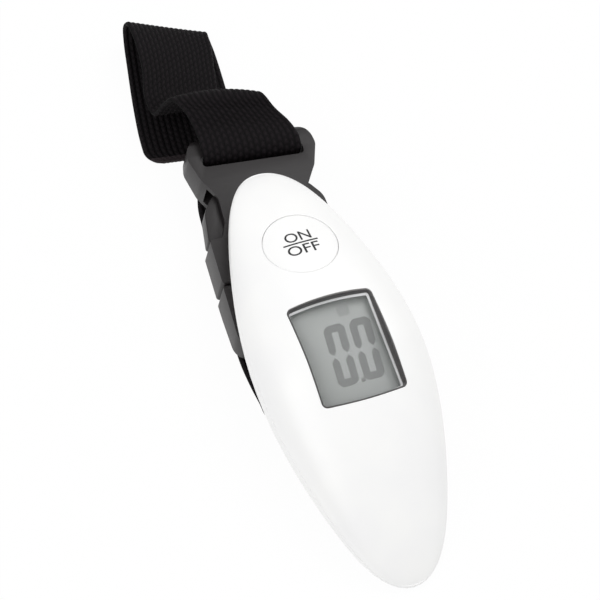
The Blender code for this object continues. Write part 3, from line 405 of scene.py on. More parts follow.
def printedWord(name, word, width, low):
    letters = startFrom(bpy.ops.object.text_add, name)
    letters.data.body = word
    letters.data.extrude = 0.01
    letters.data.offset = 0.005
    letters.data.resolution_u = 6
    pick(letters)
    bpy.ops.object.convert(target="MESH")
    letters = bpy.context.object
    spots = [vertex.co for vertex in letters.data.vertices]
    lowX, highX = min(s.x for s in spots), max(s.x for s in spots)
    lowY, highY = min(s.y for s in spots), max(s.y for s in spots)
    for vertex in letters.data.vertices:
        x = ((vertex.co.x - lowX) / (highX - lowX) - 0.5) * width
        y = low + (vertex.co.y - lowY) / (highY - lowY) * legend["capHeight"]
        vertex.co = (x, y, vertex.co.z)
    return editAll(letters, lambda: bpy.ops.mesh.remove_doubles(threshold=0.0001),
                   lambda: bpy.ops.mesh.subdivide(number_cuts=2))


def buildLegend():
    words = [printedWord("legendOn", "ON", legend["onWidth"], legend["gap"]),
             printedWord("legendOff", "OFF", legend["offWidth"], -legend["gap"] - legend["capHeight"])]
    line = startFrom(bpy.ops.mesh.primitive_grid_add, "legendLine", x_subdivisions=24, y_subdivisions=1, size=2)
    for vertex in line.data.vertices:
        vertex.co = (vertex.co.x * legend["lineLength"] / 2, vertex.co.y * legend["lineWidth"] / 2, 0.01)
    pick(line)
    for word in words:
        word.select_set(True)
    bpy.ops.object.join()
    line.name = "buttonLegend"
    for vertex in line.data.vertices:
        u, v, z = vertex.co
        vertex.co = (u, v, onFace(u, v) - button["dip"] + legend["ink"] + (0.008 if z > 0 else -0.03))
    line.data.transform(buttonPlace)
    return settle(line, casePlace, "button", "black_epoxy", smooth=20)


display = {"y": 1.27, "width": 23.0, "length": 28.0, "top": 18.3, "thick": 2.3,
           "digitWidth": 5.45, "digitHeight": 15.9, "stroke": 1.9, "midGap": 0.6, "chamfer": 1.1, "slant": 0.085,
           "digitXs": (-1.02, 5.72), "digitY": 0.85, "pointAt": (2.1, -6.6), "pointSize": 1.05,
           "iconAt": (3.4, 11.6), "iconSize": (3.0, 2.7), "ink": 0.03}


def hookPath(x, y, upward):
    # one half of a lit nought: two legs and a chamfered bar, leaning like the rest of the digits
    w, h, s, c = display["digitWidth"] / 2, display["digitHeight"] / 2, display["stroke"], display["chamfer"]
    low, tip = display["midGap"] / 2, display["stroke"] * 0.55
    way = 1 if upward else -1
    corners = [(-w + s / 2, low, 0), (-w, low + tip, 0.2), (-w, h - c, 0.5), (-w + c, h, 0.5), (w - c, h, 0.5),
               (w, h - c, 0.5), (w, low + tip, 0.2), (w - s / 2, low, 0), (w - s, low + tip, 0.2),
               (w - s, h - s, 0.25), (-w + s, h - s, 0.25), (-w + s, low + tip, 0.2)]
    return [(x + px + display["slant"] * way * py, y + way * py) for px, py in roundedPath(corners, 4)]


bezel = {"gap": 0.06, "rim": 0.3, "slope": 0.3, "ledge": 0.42, "ledgeShift": -0.2, "ledgeRise": 0.06,
         "low": 20.02}


def windowRing(inset, heightAt, shift=0.0):
    return [(x + shift, y + shift, heightAt(x, y)) for x, y in windowPath(-inset)]


def buildBezel():
    # dark frame down the window's wall, and inside it a pale ledge at the lens's edge, its colour a painted
    # highlight
    gap, rim, low = bezel["gap"], bezel["rim"], bezel["low"]
    foot = gap + rim + bezel["slope"]
    base, ledge = (lambda x, y: low), (lambda x, y: low + bezel["ledgeRise"])
    rings = [windowRing(gap, base), windowRing(gap, lambda x, y: faceHeight(x, y) - 0.16),
             windowRing(gap + 0.06, lambda x, y: faceHeight(x, y) - 0.08),
             windowRing(gap + rim, lambda x, y: faceHeight(x, y) - 0.1),
             windowRing(gap + rim + 0.05, lambda x, y: faceHeight(x, y) - 0.2), windowRing(foot, base)]
    ring = faceOut(loft("windowBezel", rings + rings[:1], False))
    settle(ring, casePlace, "housing", "grey_bezel", "display_bezel", smooth=40)
    # pale ledge standing in for the highlight on the lens's edge: a painted highlight, wider along the top and
    # right
    rings = [windowRing(foot + 0.02, base), windowRing(foot + 0.02, ledge),
             windowRing(foot + 0.12, lambda x, y: low + bezel["ledgeRise"] + 0.02),
             windowRing(foot + bezel["ledge"], base, bezel["ledgeShift"])]
    edge = faceOut(loft("paintedHighlightLedge", rings + rings[:1], False))
    settle(edge, casePlace, "housing", "clear_acrylic", smooth=40)
    return ring, edge


def buildDisplay():
    low, top = display["top"] - display["thick"], display["top"]
    glass = plate("lcdGlass", rectangle(display["width"], display["length"], 0.5, display["y"]), low, top)
    roundEdges(glass, 0.15, 2)
    settle(glass, casePlace, "housing", "lcd_glass", "lcd_panel")
    shapes = [hookPath(x, display["digitY"], way) for x in display["digitXs"] for way in (True, False)]
    size = display["pointSize"]
    shapes.append(rectangle(size, size, 0.2, display["pointAt"][1], display["pointAt"][0], 2))
    digits = [plate(f"segment{i}", path, top + 0.01, top + display["ink"]) for i, path in enumerate(shapes)]
    pick(digits[0])
    for piece in digits:
        piece.select_set(True)
    bpy.ops.object.join()
    digits[0].name = "lcdDigits"
    settle(digits[0], casePlace, "housing", "black_epoxy", smooth=20)
    iconX, iconY = display["iconAt"]
    icon = plate("lcdGhostIcon", rectangle(*display["iconSize"], 0.2, iconY, iconX, 2), top + 0.01, top + 0.02)
    settle(icon, casePlace, "housing", "black_epoxy", smooth=20)
    print("display: digits and glass")
    return glass, digits[0], icon


# buckle, drawn in plan and from the side, in the buckle's own frame

socket = {"out": 8.7, "in": 32.5, "halfWidth": 16.4, "halfThick": 4.8, "endHalfThick": 3.4, "slot": 3.2,
          "slotHalfWidth": 13.0, "windowTop": 5.7, "windowEnd": 20.2, "panelHalfWidth": 11.5,
          "mouthHalfWidth": 13.4, "mouthHalfHeight": 3.2, "mouthDepth": 28.5, "edge": 0.75}
plug = {"out": 50.4, "halfWidth": 16.2, "endHalfWidth": 15.4, "endHalfThick": 3.6, "bar": 4.6,
        "barHalfThick": 2.0, "guideHalfWidth": 3.0, "guideHalfThick": 2.4, "guideTip": 8.0, "edge": 0.75}
arm = {"halfThick": 2.8, "thick": 2.3, "shoulder": 16.2, "tip": 7.0, "edge": 0.55}


def bothSides(half):
    return half + [(-x, y, r) for x, y, r in reversed(half)]


def buildSocket():
    w, p, s = socket["halfWidth"], socket["panelHalfWidth"], socket
    plan = bothSides([(w - 0.4, -s["in"], 1.2), (w, -s["windowEnd"], 1.0), (p + 1.5, -s["windowEnd"], 0.8),
                      (p, -s["windowEnd"] + 4, 3), (p, -s["windowTop"] - 3, 3), (w - 1.9, -s["windowTop"] + 2, 3.5),
                      (w, 2.6, 4), (w - 1.0, s["out"], 5)])
    t, e = s["halfThick"], s["endHalfThick"]
    side = roundedPath([(-s["in"], -t, 1.0), (-s["windowTop"], -t, 8), (s["out"], -e, 2.4),
                        (s["out"], e, 2.4), (-s["windowTop"], t, 8), (-s["in"], t, 1.0)], 12)
    piece = plate("buckleSocket", roundedPath(plan, 12), -2 * t, 2 * t)
    combine(piece, plate("socketSide", side, -2 * w, 2 * w, True), "INTERSECT")
    slotPath = rectangle(2 * s["slotHalfWidth"], s["slot"], 1.2, s["slot"] / 2)
    combine(piece, plate("slotCutter", slotPath, -2 * t, 2 * t), "DIFFERENCE")
    roundEdges(piece, s["edge"], 4)
    mouth = rectangle(2 * s["mouthHalfWidth"], 2 * s["mouthDepth"], 1.5, -s["in"])
    combine(piece, plate("mouthCutter", mouth, -s["mouthHalfHeight"], s["mouthHalfHeight"]), "DIFFERENCE")
    return settle(faceOut(piece), bucklePlace, "socket", "grey_acetal", "buckle_socket", smooth=32)


def buildPlug():
    p, t = plug, socket["halfThick"]
    top = -socket["in"] - 0.3
    plan = bothSides([(p["endHalfWidth"], -p["out"], 5), (p["halfWidth"], top, 1.2)])
    side = roundedPath([(-p["out"], -p["endHalfThick"], 2.2), (top - 5, -t, 4), (top, -t, 1), (top, t, 1),
                        (top - 5, t, 4), (-p["out"], p["endHalfThick"], 2.2)], 12)
    piece = plate("bucklePlug", roundedPath(plan, 12), -2 * t, 2 * t)
    combine(piece, plate("plugSide", side, -40, 40, True), "INTERSECT")
    opening = rectangle(2 * socket["slotHalfWidth"], 2 * p["bar"] + 2 * socket["slot"], 0.8, -p["out"])
    combine(piece, plate("plugCutter", opening, -2 * t, 2 * t), "DIFFERENCE")
    roundEdges(piece, p["edge"], 4)
    bar = rectangle(p["bar"], 2 * p["barHalfThick"], 1.6, 0, -p["out"] + p["bar"] / 2)
    combine(piece, plate("webBar", bar, -13.8, 13.8, True), "UNION")
    tip = p["guideHalfWidth"]
    guide = roundedPath([(tip, top - 3, 0), (tip, -p["guideTip"] - 4, 3), (tip * 0.5, -p["guideTip"], 1),
                         (-tip * 0.5, -p["guideTip"], 1), (-tip, -p["guideTip"] - 4, 3), (-tip, top - 3, 0)])
    combine(piece, plate("guide", guide, -p["guideHalfThick"], p["guideHalfThick"]), "UNION")
    return settle(faceOut(piece), bucklePlace, "housing", "grey_acetal", "buckle_plug", smooth=32)


def buildArm(sign):
    root, outer = -socket["in"], socket["mouthHalfWidth"] - 0.4
    inner, catch = outer - arm["thick"], -socket["windowEnd"] + 0.4
    half = [(inner, root, 0.3), (outer, root, 0.3), (outer, catch, 0.6), (arm["shoulder"], catch, 0.8),
            (arm["shoulder"] - 0.9, catch + 8.5, 6), (outer - 1, -arm["tip"], 1.6),
            (inner - 0.8, -arm["tip"] - 1, 1.2), (inner - 0.2, catch - 2, 6)]
    corners = [(sign * x, y, r) for x, y, r in half]
    if sign < 0:
        corners.reverse()
    name, body = ("latchArmRight", "arm_right") if sign > 0 else ("latchArmLeft", "arm_left")
    piece = plate(name, roundedPath(corners, 10), -arm["halfThick"], arm["halfThick"])
    roundEdges(piece, arm["edge"], 3)
    return settle(piece, bucklePlace, body, "grey_acetal", "latch_arm_right" if sign > 0 else "latch_arm_left")


# webbing: ribbed bands between two edge routes, in the table's frame

web = {"width": 25.0, "thick": 1.2, "ribs": 17, "ribHeight": 0.14, "perRib": 6, "step": 0.35, "endCorner": 4.0,
       "hump": 1.3, "caseSlotY": 9.0}


def smoothRoute(route, steps):
    spots = [Vector(spot) for spot in route]
    padded = [2 * spots[0] - spots[1], *spots, 2 * spots[-1] - spots[-2]]
    path = []
    for index in range(len(spots) - 1):
        a, b, c, d = padded[index:index + 4]
        ab, bc, cd = (b - a).length ** 0.5, (c - b).length ** 0.5, (d - c).length ** 0.5
        leaving = (c - b) + bc * ((b - a) / ab - (c - a) / (ab + bc))
        reaching = (c - b) + bc * ((d - c) / cd - (d - b) / (bc + cd))
        for step in range(steps):
            t = step / steps
            path.append((2 * t**3 - 3 * t**2 + 1) * b + (t**3 - 2 * t**2 + t) * leaving
                        + (3 * t**2 - 2 * t**3) * c + (t**3 - t**2) * reaching)
    return path + [spots[-1]]


def evenPairs(left, right, arch):
    # pair up both edges and walk them at an even pace
    pairs = list(zip(smoothRoute(left, 24), smoothRoute(right, 24), arch))
    run, total = [0.0], 0.0
    for (a, b, _), (c, d, _) in zip(pairs, pairs[1:]):
        total += ((c - a).length + (d - b).length) / 2
        run.append(total)
    count = max(2, int(total / web["step"]))
    picked, at = [], 0
    for i in range(count + 1):
        goal = total * i / count
        while at < len(run) - 2 and run[at + 1] < goal:
            at += 1
        share = (goal - run[at]) / max(run[at + 1] - run[at], 1e-9)
        (a, b, first), (c, d, second) = pairs[at], pairs[at + 1]
        picked.append((a.lerp(c, share), b.lerp(d, share), goal, first + (second - first) * share))
    return picked, total


def webProfile():
    # half thickness across the width: ribs, easing into the selvedge
    half = []
    count = web["ribs"] * web["perRib"]
    for i in range(count + 1):
        u = i / count
        rib = 0.5 - 0.5 * math.cos(2 * math.pi * web["ribs"] * u)
        body = web["thick"] / 2 - web["ribHeight"] * (1 - rib)
        side = min(u, 1 - u) * web["width"] / 0.9
        ease = math.sqrt(max(0.0, 1 - (1 - min(side, 1.0)) ** 2))
        half.append((u, body * (0.35 + 0.65 * ease)))
    return half


def buildBand(name, stations, roundEnd=False):
    # stations hold the left edge, the right edge and, where the band arches, its rise in the middle
    left = [spot[:3] for spot in stations]
    right = [spot[3:6] for spot in stations]
    arch = smoothRoute([(spot[6] if len(spot) > 6 else 0.0, 0.001 * i, 0) for i, spot in enumerate(stations)], 24)
    picked, total = evenPairs(left, right, [spot.x for spot in arch])
    profile = webProfile()
    rings, marks = [], []
    for index, (a, b, run, rise) in enumerate(picked):
        before, after = picked[max(index - 1, 0)], picked[min(index + 1, len(picked) - 1)]
        along = (after[0] + after[1]) - (before[0] + before[1])
        up = (b - a).cross(along).normalized()
        near = total - run if roundEnd else web["endCorner"]
        corner = web["endCorner"]
        trim = corner - math.sqrt(max(0.0, corner**2 - max(0.0, corner - near) ** 2))
        shares = [trim / web["width"] + u * (1 - 2 * trim / web["width"]) for u, _ in profile]
        mids = [a.lerp(b, u) + up * rise * (1 - (2 * u - 1) ** 2) for u in shares]
        top = [mid + up * h for mid, (_, h) in zip(mids, profile)]
        under = [mid - up * h for mid, (_, h) in zip(mids, profile)]
        rings.append(top + under[::-1])
        marks.append(run)
    piece = loft(name, rings)
    count = len(rings[0])
    across = [u * web["width"] for u, _ in profile] + [u * web["width"] for u, _ in reversed(profile)]
    layer = piece.data.uv_layers.new(name="weave")
    for loop in piece.data.loops:
        row, column = divmod(loop.vertex_index, count)
        layer.data[loop.index].uv = (across[column], marks[row])
    print(name, "runs", round(total, 1), "mm")
    return piece, total


def flat(x, y, z):
    half = web["width"] / 2
    return (x - half, y, z, x + half, y, z)


def buildWebbing():
    inTable = tablePlace.inverted() @ casePlace
    loop, pinRadius, pinZ = web["thick"] / 2 + 0.3, 1.5, 3.2
    leftX, rightX = -web["width"] / 2 - 0.4, web["width"] / 2 - 0.4
    pinLeft, pinRight = inTable @ Vector((leftX, 0, pinZ)), inTable @ Vector((rightX, 0, pinZ))
    slotLeft = inTable @ Vector((leftX, web["caseSlotY"], case["land"]))
    slotRight = inTable @ Vector((rightX, web["caseSlotY"], case["land"]))
    barY = -plug["out"] + plug["bar"] / 2
    slope = math.tan(math.radians(lie["buckleTilt"]))
    barZ = lie["buckleRise"] + barY * slope

    def atPin(angle):
        y = (pinRadius + loop) * math.cos(math.radians(angle))
        z = (pinRadius + loop) * math.sin(math.radians(angle))
        return (pinLeft.x, pinLeft.y + y, pinLeft.z + z, pinRight.x, pinRight.y + y, pinRight.z + z)

    def atBar(angle):
        across, rise = math.cos(math.radians(angle)), math.sin(math.radians(angle))
        y = (plug["bar"] / 2 + loop) * math.copysign(abs(across) ** 0.8, across)
        z = (plug["barHalfThick"] + loop) * math.copysign(abs(rise) ** 0.8, rise)
        return flat(0.3, barY + y, barZ + z)

    under = loop + 0.15
    passing = (slotLeft.x, slotLeft.y + 0.4, slotLeft.z - under,
               slotRight.x, slotRight.y + 0.4, slotRight.z - under)
    barTurn = [atBar(angle) for angle in range(-170, 101, 30)]
    leaving = flat(0.6, -plug["out"] - 0.6, (barTurn[-1][2] + passing[2]) / 2)
    pinTurn = [atPin(angle) for angle in range(70, 246, 25)]
    anchor, anchorRun = buildBand("webbingAnchor", barTurn + [leaving, passing] + pinTurn)

    floor = web["thick"] / 2 + 0.05
    def skewed(x, y, z, turn):
        half, swing = web["width"] / 2, (pinRight.y - pinLeft.y) / 2 * turn
        return (x - half, y - swing, z, x + half, y + swing, z)

    load, loadRun = buildBand("webbingLoad", [
        atPin(246), atPin(268), atPin(290), skewed(3.9, -59.6, 6.4, 1.0), skewed(3.4, -58.7, 5.2, 1.0),
        skewed(2.9, -60.2, 4.05, 0.8), skewed(2.0, -63.6, 3.4, 0.5), skewed(1.2, -65.8, 2.1, 0.3),
        skewed(0.5, -64.0, floor + 0.15, 0.2), flat(0.1, -61.5, floor), flat(-0.8, -57, floor),
        flat(-1.8, -50, floor),
        flat(-2.1, -42, floor), flat(-2.1, -32, floor), flat(-1.9, -21, floor), flat(-1.7, -11, floor),
        flat(-1.5, -5, floor + 0.1), flat(-0.9, -1.6, floor + 0.7), flat(-0.2, 0.6, floor + 2.0)])

    slotY = socket["slot"] / 2 + 0.2
    over = lie["buckleRise"] + socket["out"] / 2 * slope + socket["endHalfThick"]
    over += web["thick"] / 2 + web["hump"]
    upper = floor + web["thick"] + 0.3
    tail, tailRun = buildBand("webbingTail", [
        flat(0, slotY - 0.3, floor + 3.1), flat(0, slotY, 8), flat(0, slotY + 0.1, over - 1.4),
        flat(-0.2, slotY + 2.2, over + 0.3),
        (-13.2, 9.0, over + 1.2, 10.9, 8.6, over + 0.2, 0.3),
        (-15.2, 13.5, over + 3.6, 8.1, 12.2, over + 1.3, 0.9),
        (-17.7, 17.0, over + 3.9, 5.6, 15.2, over + 3.4, 1.4),
        (-19.2, 18.4, over - 0.1, 4.5, 18.0, over - 2.8, 1.0),
        (-20.7, 19.6, over - 5.6, 1.9, 21.4, over - 9.0, 0.0),
        (-21.7, 24.0, over - 4.4, -0.9, 26.0, upper),
        (-20.7, 31.0, over - 3.7, -0.5, 33.0, upper),
        (-20.4, 38.0, over - 3.4, 0.3, 39.5, upper),
        (-20.9, 46.3, over - 5.0, 0.45, 43.9, upper - 0.2),
        (-21.2, 47.4, over - 8.2, 0.65, 44.9, (upper + floor) / 2),
        (-21.1, 45.3, floor + 1.6, 0.85, 44.0, floor + 0.15),
        (-21.7, 38.0, floor, 1.3, 39.0, floor),
        (-22.8, 28.0, floor, 1.5, 28.0, floor),
        (-23.5, 18.0, floor, 1.5, 18.0, floor),
        (-23.4, 10.1, floor, 1.6, 9.6, floor)], True)
    settle(anchor, tablePlace, "housing", "black_webbing", "anchor_strap", smooth=60)
    settle(tail, tablePlace, "socket", "black_webbing", "strap_tail", smooth=60)
    settle(load, tablePlace, None, "black_webbing", "load_strap", smooth=60)
    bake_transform(load)
    print("webbing laid")
    return anchor, load, tail, tailRun


# finishes

def newGroup(name, inputs, outputs):
    group = bpy.data.node_groups.new(name, "ShaderNodeTree")
    for label, kind, value in inputs:
        socketIn = group.interface.new_socket(name=label, in_out="INPUT", socket_type=kind)
        socketIn.default_value = value
    for label, kind in outputs:
        group.interface.new_socket(name=label, in_out="OUTPUT", socket_type=kind)
    start, end = group.nodes.new("NodeGroupInput"), group.nodes.new("NodeGroupOutput")
    return group, start, end


def addNode(tree, kind, **settings):
    node = tree.nodes.new(kind)
    for key, value in settings.items():
        if key in node.bl_rna.properties:
            setattr(node, key, value)
        else:
            node.inputs[key].default_value = value
    return node


def mathNode(tree, operation, first, second=None, third=None):
    node = addNode(tree, "ShaderNodeMath", operation=operation)
    for index, value in enumerate((first, second, third)):
        if value is None:
            continue
        if isinstance(value, (int, float)):
            node.inputs[index].default_value = value
        else:
            tree.links.new(value, node.inputs[index])
    return node.outputs[0]


def makeMouldGrain():
    # moulded plastic: fine grain, slow sink marks and a breath of handling
    group, start, end = newGroup("mouldGrain", [
        ("Colour", "NodeSocketColor", (1, 1, 1, 1)), ("Shade", "NodeSocketColor", (0.9, 0.9, 0.9, 1)),
        ("Roughness", "NodeSocketFloat", 0.4), ("Grain scale", "NodeSocketFloat", 2500.0),
        ("Grain depth", "NodeSocketFloat", 0.1)],
        [("Colour", "NodeSocketColor"), ("Roughness", "NodeSocketFloat"), ("Normal", "NodeSocketVector")])
    links = group.links
    where = addNode(group, "ShaderNodeTexCoord").outputs["Object"]
    grain = addNode(group, "ShaderNodeTexNoise", Detail=3.0, Roughness=0.6)
    slow = addNode(group, "ShaderNodeTexNoise", Scale=60.0, Detail=2.0)
    for node in (grain, slow):
        links.new(where, node.inputs["Vector"])
    links.new(start.outputs["Grain scale"], grain.inputs["Scale"])
    mix = addNode(group, "ShaderNodeMix", data_type="RGBA")
    spread = addNode(group, "ShaderNodeMapRange")
    spread.inputs["From Min"].default_value = 0.35
    spread.inputs["From Max"].default_value = 0.65
    links.new(slow.outputs["Fac"], spread.inputs["Value"])
    links.new(spread.outputs["Result"], mix.inputs["Factor"])
    links.new(start.outputs["Colour"], mix.inputs["A"])
    links.new(start.outputs["Shade"], mix.inputs["B"])
    links.new(mix.outputs["Result"], end.inputs["Colour"])
    wobble = mathNode(group, "MULTIPLY", mathNode(group, "SUBTRACT", grain.outputs["Fac"], 0.5), 0.16)
    links.new(mathNode(group, "ADD", start.outputs["Roughness"], wobble), end.inputs["Roughness"])
    bump = addNode(group, "ShaderNodeBump", Distance=0.00002)
    links.new(start.outputs["Grain depth"], bump.inputs["Strength"])
    links.new(grain.outputs["Fac"], bump.inputs["Height"])
    links.new(bump.outputs["Normal"], end.inputs["Normal"])
    return group


def plainMaterial(name):
    made = bpy.data.materials.new(name)
    made.use_nodes = True
    shader = made.node_tree.nodes["Principled BSDF"]
    return made, made.node_tree, shader


def srgb(*channels):
    return tuple((c / 255 / 12.92 if c <= 10 else ((c / 255 + 0.055) / 1.055) ** 2.4) for c in channels) + (1.0,)


def plastic(name, grain, colour, shade, roughness, scale=2500.0, depth=0.15, metallic=0.0):
    made, tree, shader = plainMaterial(name)
    group = tree.nodes.new("ShaderNodeGroup")
    group.node_tree = grain
    group.inputs["Colour"].default_value = colour
    group.inputs["Shade"].default_value = shade
    group.inputs["Roughness"].default_value = roughness
    group.inputs["Grain scale"].default_value = scale
    group.inputs["Grain depth"].default_value = depth
    tree.links.new(group.outputs["Colour"], shader.inputs["Base Color"])
    tree.links.new(group.outputs["Roughness"], shader.inputs["Roughness"])
    tree.links.new(group.outputs["Normal"], shader.inputs["Normal"])
    shader.inputs["Metallic"].default_value = metallic
    return made


# the colours of the grooves and crests are painted shade and a painted highlight; the colour of the heat-seal band
# is a painted sheen
weave = {"grooveShade": (4, 3, 4), "crest": (24, 19, 22), "float": 1.7, "stagger": 0.5, "relief": 0.00026,
         "sealedSheen": (44, 38, 40), "sealWidth": 1.3, "swell": 0.8, "lean": 0.6, "fuzz": 0.3}


def webbingMaterial(name, sealFrom):
    # short floats staggered from rib to rib, on the band's own UV in millimetres; the colour is painted shade in
    # the grooves and a painted highlight on the crests, and the heat-seal band at the end is smooth, its lighter
    # colour a painted sheen
    made, tree, shader = plainMaterial(name)
    links = tree.links
    uv = addNode(tree, "ShaderNodeUVMap", uv_map="weave").outputs["UV"]
    split = addNode(tree, "ShaderNodeSeparateXYZ")
    links.new(uv, split.inputs["Vector"])
    ribAt = mathNode(tree, "DIVIDE", split.outputs["X"], web["width"] / web["ribs"])
    crest = mathNode(tree, "SINE", mathNode(tree, "MULTIPLY", mathNode(tree, "FRACT", ribAt), math.pi))
    step = mathNode(tree, "MULTIPLY", mathNode(tree, "FLOOR", ribAt), weave["stagger"])
    halfRib = mathNode(tree, "ABSOLUTE", mathNode(tree, "SUBTRACT", mathNode(tree, "FRACT", ribAt), 0.5))
    lean = mathNode(tree, "MULTIPLY", halfRib, weave["lean"])
    along = mathNode(tree, "ADD", mathNode(tree, "DIVIDE", split.outputs["Y"], weave["float"]),
                     mathNode(tree, "ADD", step, lean))
    swell = mathNode(tree, "SINE", mathNode(tree, "MULTIPLY", mathNode(tree, "FRACT", along), math.pi))
    lift = mathNode(tree, "MULTIPLY", crest,
                    mathNode(tree, "MULTIPLY_ADD", swell, weave["swell"], 1 - weave["swell"]))
    sealedSheen = mathNode(tree, "GREATER_THAN", split.outputs["Y"], sealFrom)
    woven = mathNode(tree, "SUBTRACT", 1.0, sealedSheen)
    fuzz = addNode(tree, "ShaderNodeTexNoise", Scale=7.0, Detail=4.0)
    links.new(uv, fuzz.inputs["Vector"])
    height = mathNode(tree, "ADD", mathNode(tree, "MULTIPLY", lift, woven),
                      mathNode(tree, "MULTIPLY", fuzz.outputs["Fac"], weave["fuzz"]))
    bump = addNode(tree, "ShaderNodeBump", Strength=1.0, Distance=weave["relief"])
    links.new(height, bump.inputs["Height"])
    links.new(bump.outputs["Normal"], shader.inputs["Normal"])
    # colour follows the relief: painted shade in the grooves, painted highlight on the crests
    paintedRibShading = addNode(tree, "ShaderNodeMix", data_type="RGBA")
    paintedRibShading.inputs["A"].default_value = srgb(*weave["grooveShade"])
    paintedRibShading.inputs["B"].default_value = srgb(*weave["crest"])
    links.new(lift, paintedRibShading.inputs["Factor"])
    # the heat-seal band has no weave, and its lighter colour is a painted sheen
    end = addNode(tree, "ShaderNodeMix", data_type="RGBA")
    end.inputs["B"].default_value = srgb(*weave["sealedSheen"])
    links.new(sealedSheen, end.inputs["Factor"])
    links.new(paintedRibShading.outputs["Result"], end.inputs["A"])
    links.new(end.outputs["Result"], shader.inputs["Base Color"])
    shader.inputs["Roughness"].default_value = 0.75
    shader.inputs["Specular IOR Level"].default_value = 0.15
    return made


def clearMaterial():
    made, tree, shader = plainMaterial("clearLens")
    shader.inputs["Base Color"].default_value = srgb(235, 240, 240)
    shader.inputs["Roughness"].default_value = 0.06
    shader.inputs["Alpha"].default_value = 0.06
    return made


def dress(piece, material):
    piece.data.materials.clear()
    piece.data.materials.append(material)


def buildFinishes(pieces, tailRun):
    grain = makeMouldGrain()
    white = plastic("whiteAbs", grain, srgb(248, 248, 247), srgb(245, 245, 245), 0.34, 2600.0, 0.08)
    grey = plastic("greyAcetal", grain, srgb(37, 34, 35), srgb(32, 29, 30), 0.42, 2200.0, 0.35)
    grey.node_tree.nodes["Principled BSDF"].inputs["Specular IOR Level"].default_value = 0.34
    looks = {
        "whiteAbs": white,
        "greyAcetal": grey,
        "webbing": webbingMaterial("blackWebbing", 9999.0),
        "tail": webbingMaterial("blackWebbingTail", tailRun - weave["sealWidth"]),
        "lens": clearMaterial(),
        "lcd": plastic("lcdGround", grain, srgb(150, 153, 150), srgb(142, 145, 143), 0.3, 900.0, 0.05),
        "digit": plastic("lcdInk", grain, srgb(94, 95, 93), srgb(88, 89, 88), 0.4, 900.0, 0.02),
        "ghost": plastic("lcdGhost", grain, srgb(130, 133, 130), srgb(126, 129, 127), 0.35, 900.0, 0.02),
        "legend": plastic("legendInk", grain, srgb(20, 20, 23), srgb(28, 28, 31), 0.5, 1500.0, 0.05),
        "bezel": plastic("greyBezel", grain, srgb(82, 80, 80), srgb(74, 72, 72), 0.3, 1800.0, 0.1),
        # near-white ledge colour is a painted highlight on the lens's edge
        "paintedHighlightLedge": plastic("paintedHighlightEdge", grain, srgb(226, 227, 228), srgb(206, 207, 208), 0.16, 500.0, 0.05),
        "natural": plastic("naturalAbs", grain, srgb(222, 222, 216), srgb(212, 212, 206), 0.5),
        "elastomer": plastic("pinkElastomer", grain, srgb(196, 160, 165), srgb(120, 100, 102), 0.7, 400.0),
        "board": plastic("greenBoard", grain, srgb(38, 112, 68), srgb(30, 96, 56), 0.35, 900.0),
        "epoxy": plastic("blackEpoxy", grain, srgb(26, 26, 27), srgb(34, 34, 35), 0.4, 1200.0),
        "nylon": plastic("redNylon", grain, srgb(176, 52, 44), srgb(160, 44, 38), 0.45),
        "beam": plastic("milledAluminium", grain, srgb(205, 207, 210), srgb(190, 192, 196), 0.34, 1400.0, 0.3, 1.0),
        "steel": plastic("zincSteel", grain, srgb(196, 197, 200), srgb(176, 178, 184), 0.3, 1600.0, 0.2, 1.0),
        "foil": plastic("gaugeFoil", grain, srgb(196, 164, 96), srgb(176, 144, 80), 0.4, 900.0),
        "lead": plastic("redLead", grain, srgb(170, 36, 36), srgb(150, 30, 30), 0.5, 900.0),
        "bronze": plastic("springBronze", grain, srgb(206, 180, 132), srgb(190, 164, 118), 0.28, 1500.0, 0.2, 1.0),
    }
    onNodes = {
        "whiteAbs": ["front_shell", "back_shell", "on_off_button", "battery_cover"],
        "lens": ["display_lens"], "bezel": ["display_bezel"], "natural": ["lcd_holder"], "lcd": ["lcd_panel"],
        "elastomer": ["zebra_connector"], "board": ["circuit_board"], "epoxy": ["controller_chip", "tact_switch"],
        "nylon": ["switch_plunger"], "beam": ["load_cell"], "foil": ["strain_gauge_upper", "strain_gauge_lower"],
        "lead": ["gauge_lead"], "bronze": ["battery_contact_negative", "battery_contact_positive"],
        "steel": ["load_cell_screw_1", "load_cell_screw_2", "strap_yoke", "anchor_pin", "coin_cell",
                  "case_screw_1", "case_screw_2", "case_screw_3", "case_screw_4"],
        "greyAcetal": ["buckle_socket", "buckle_plug", "latch_arm_left", "latch_arm_right"],
        "webbing": ["anchor_strap", "load_strap", "strap_tail"],
    }
    for look, names in onNodes.items():
        for name in names:
            if name in nodes:
                dress(nodes[name], looks[look])
    for look, made in pieces.items():
        for piece in made:
            dress(piece, looks[look])
    print("finishes on", sum(len(made) for made in pieces.values()), "new pieces")


# stage, light and camera

stageSet = {"floorSize": 6.0, "worldStrength": 0.62, "keyPower": 5.7, "fillPower": 4.2, "floorGlow": 0.96,
            "keySpot": (0.5, 0.35, 1.1), "keySize": 0.9, "fillSpot": (-0.8, -0.3, 0.9), "fillSize": 1.0}


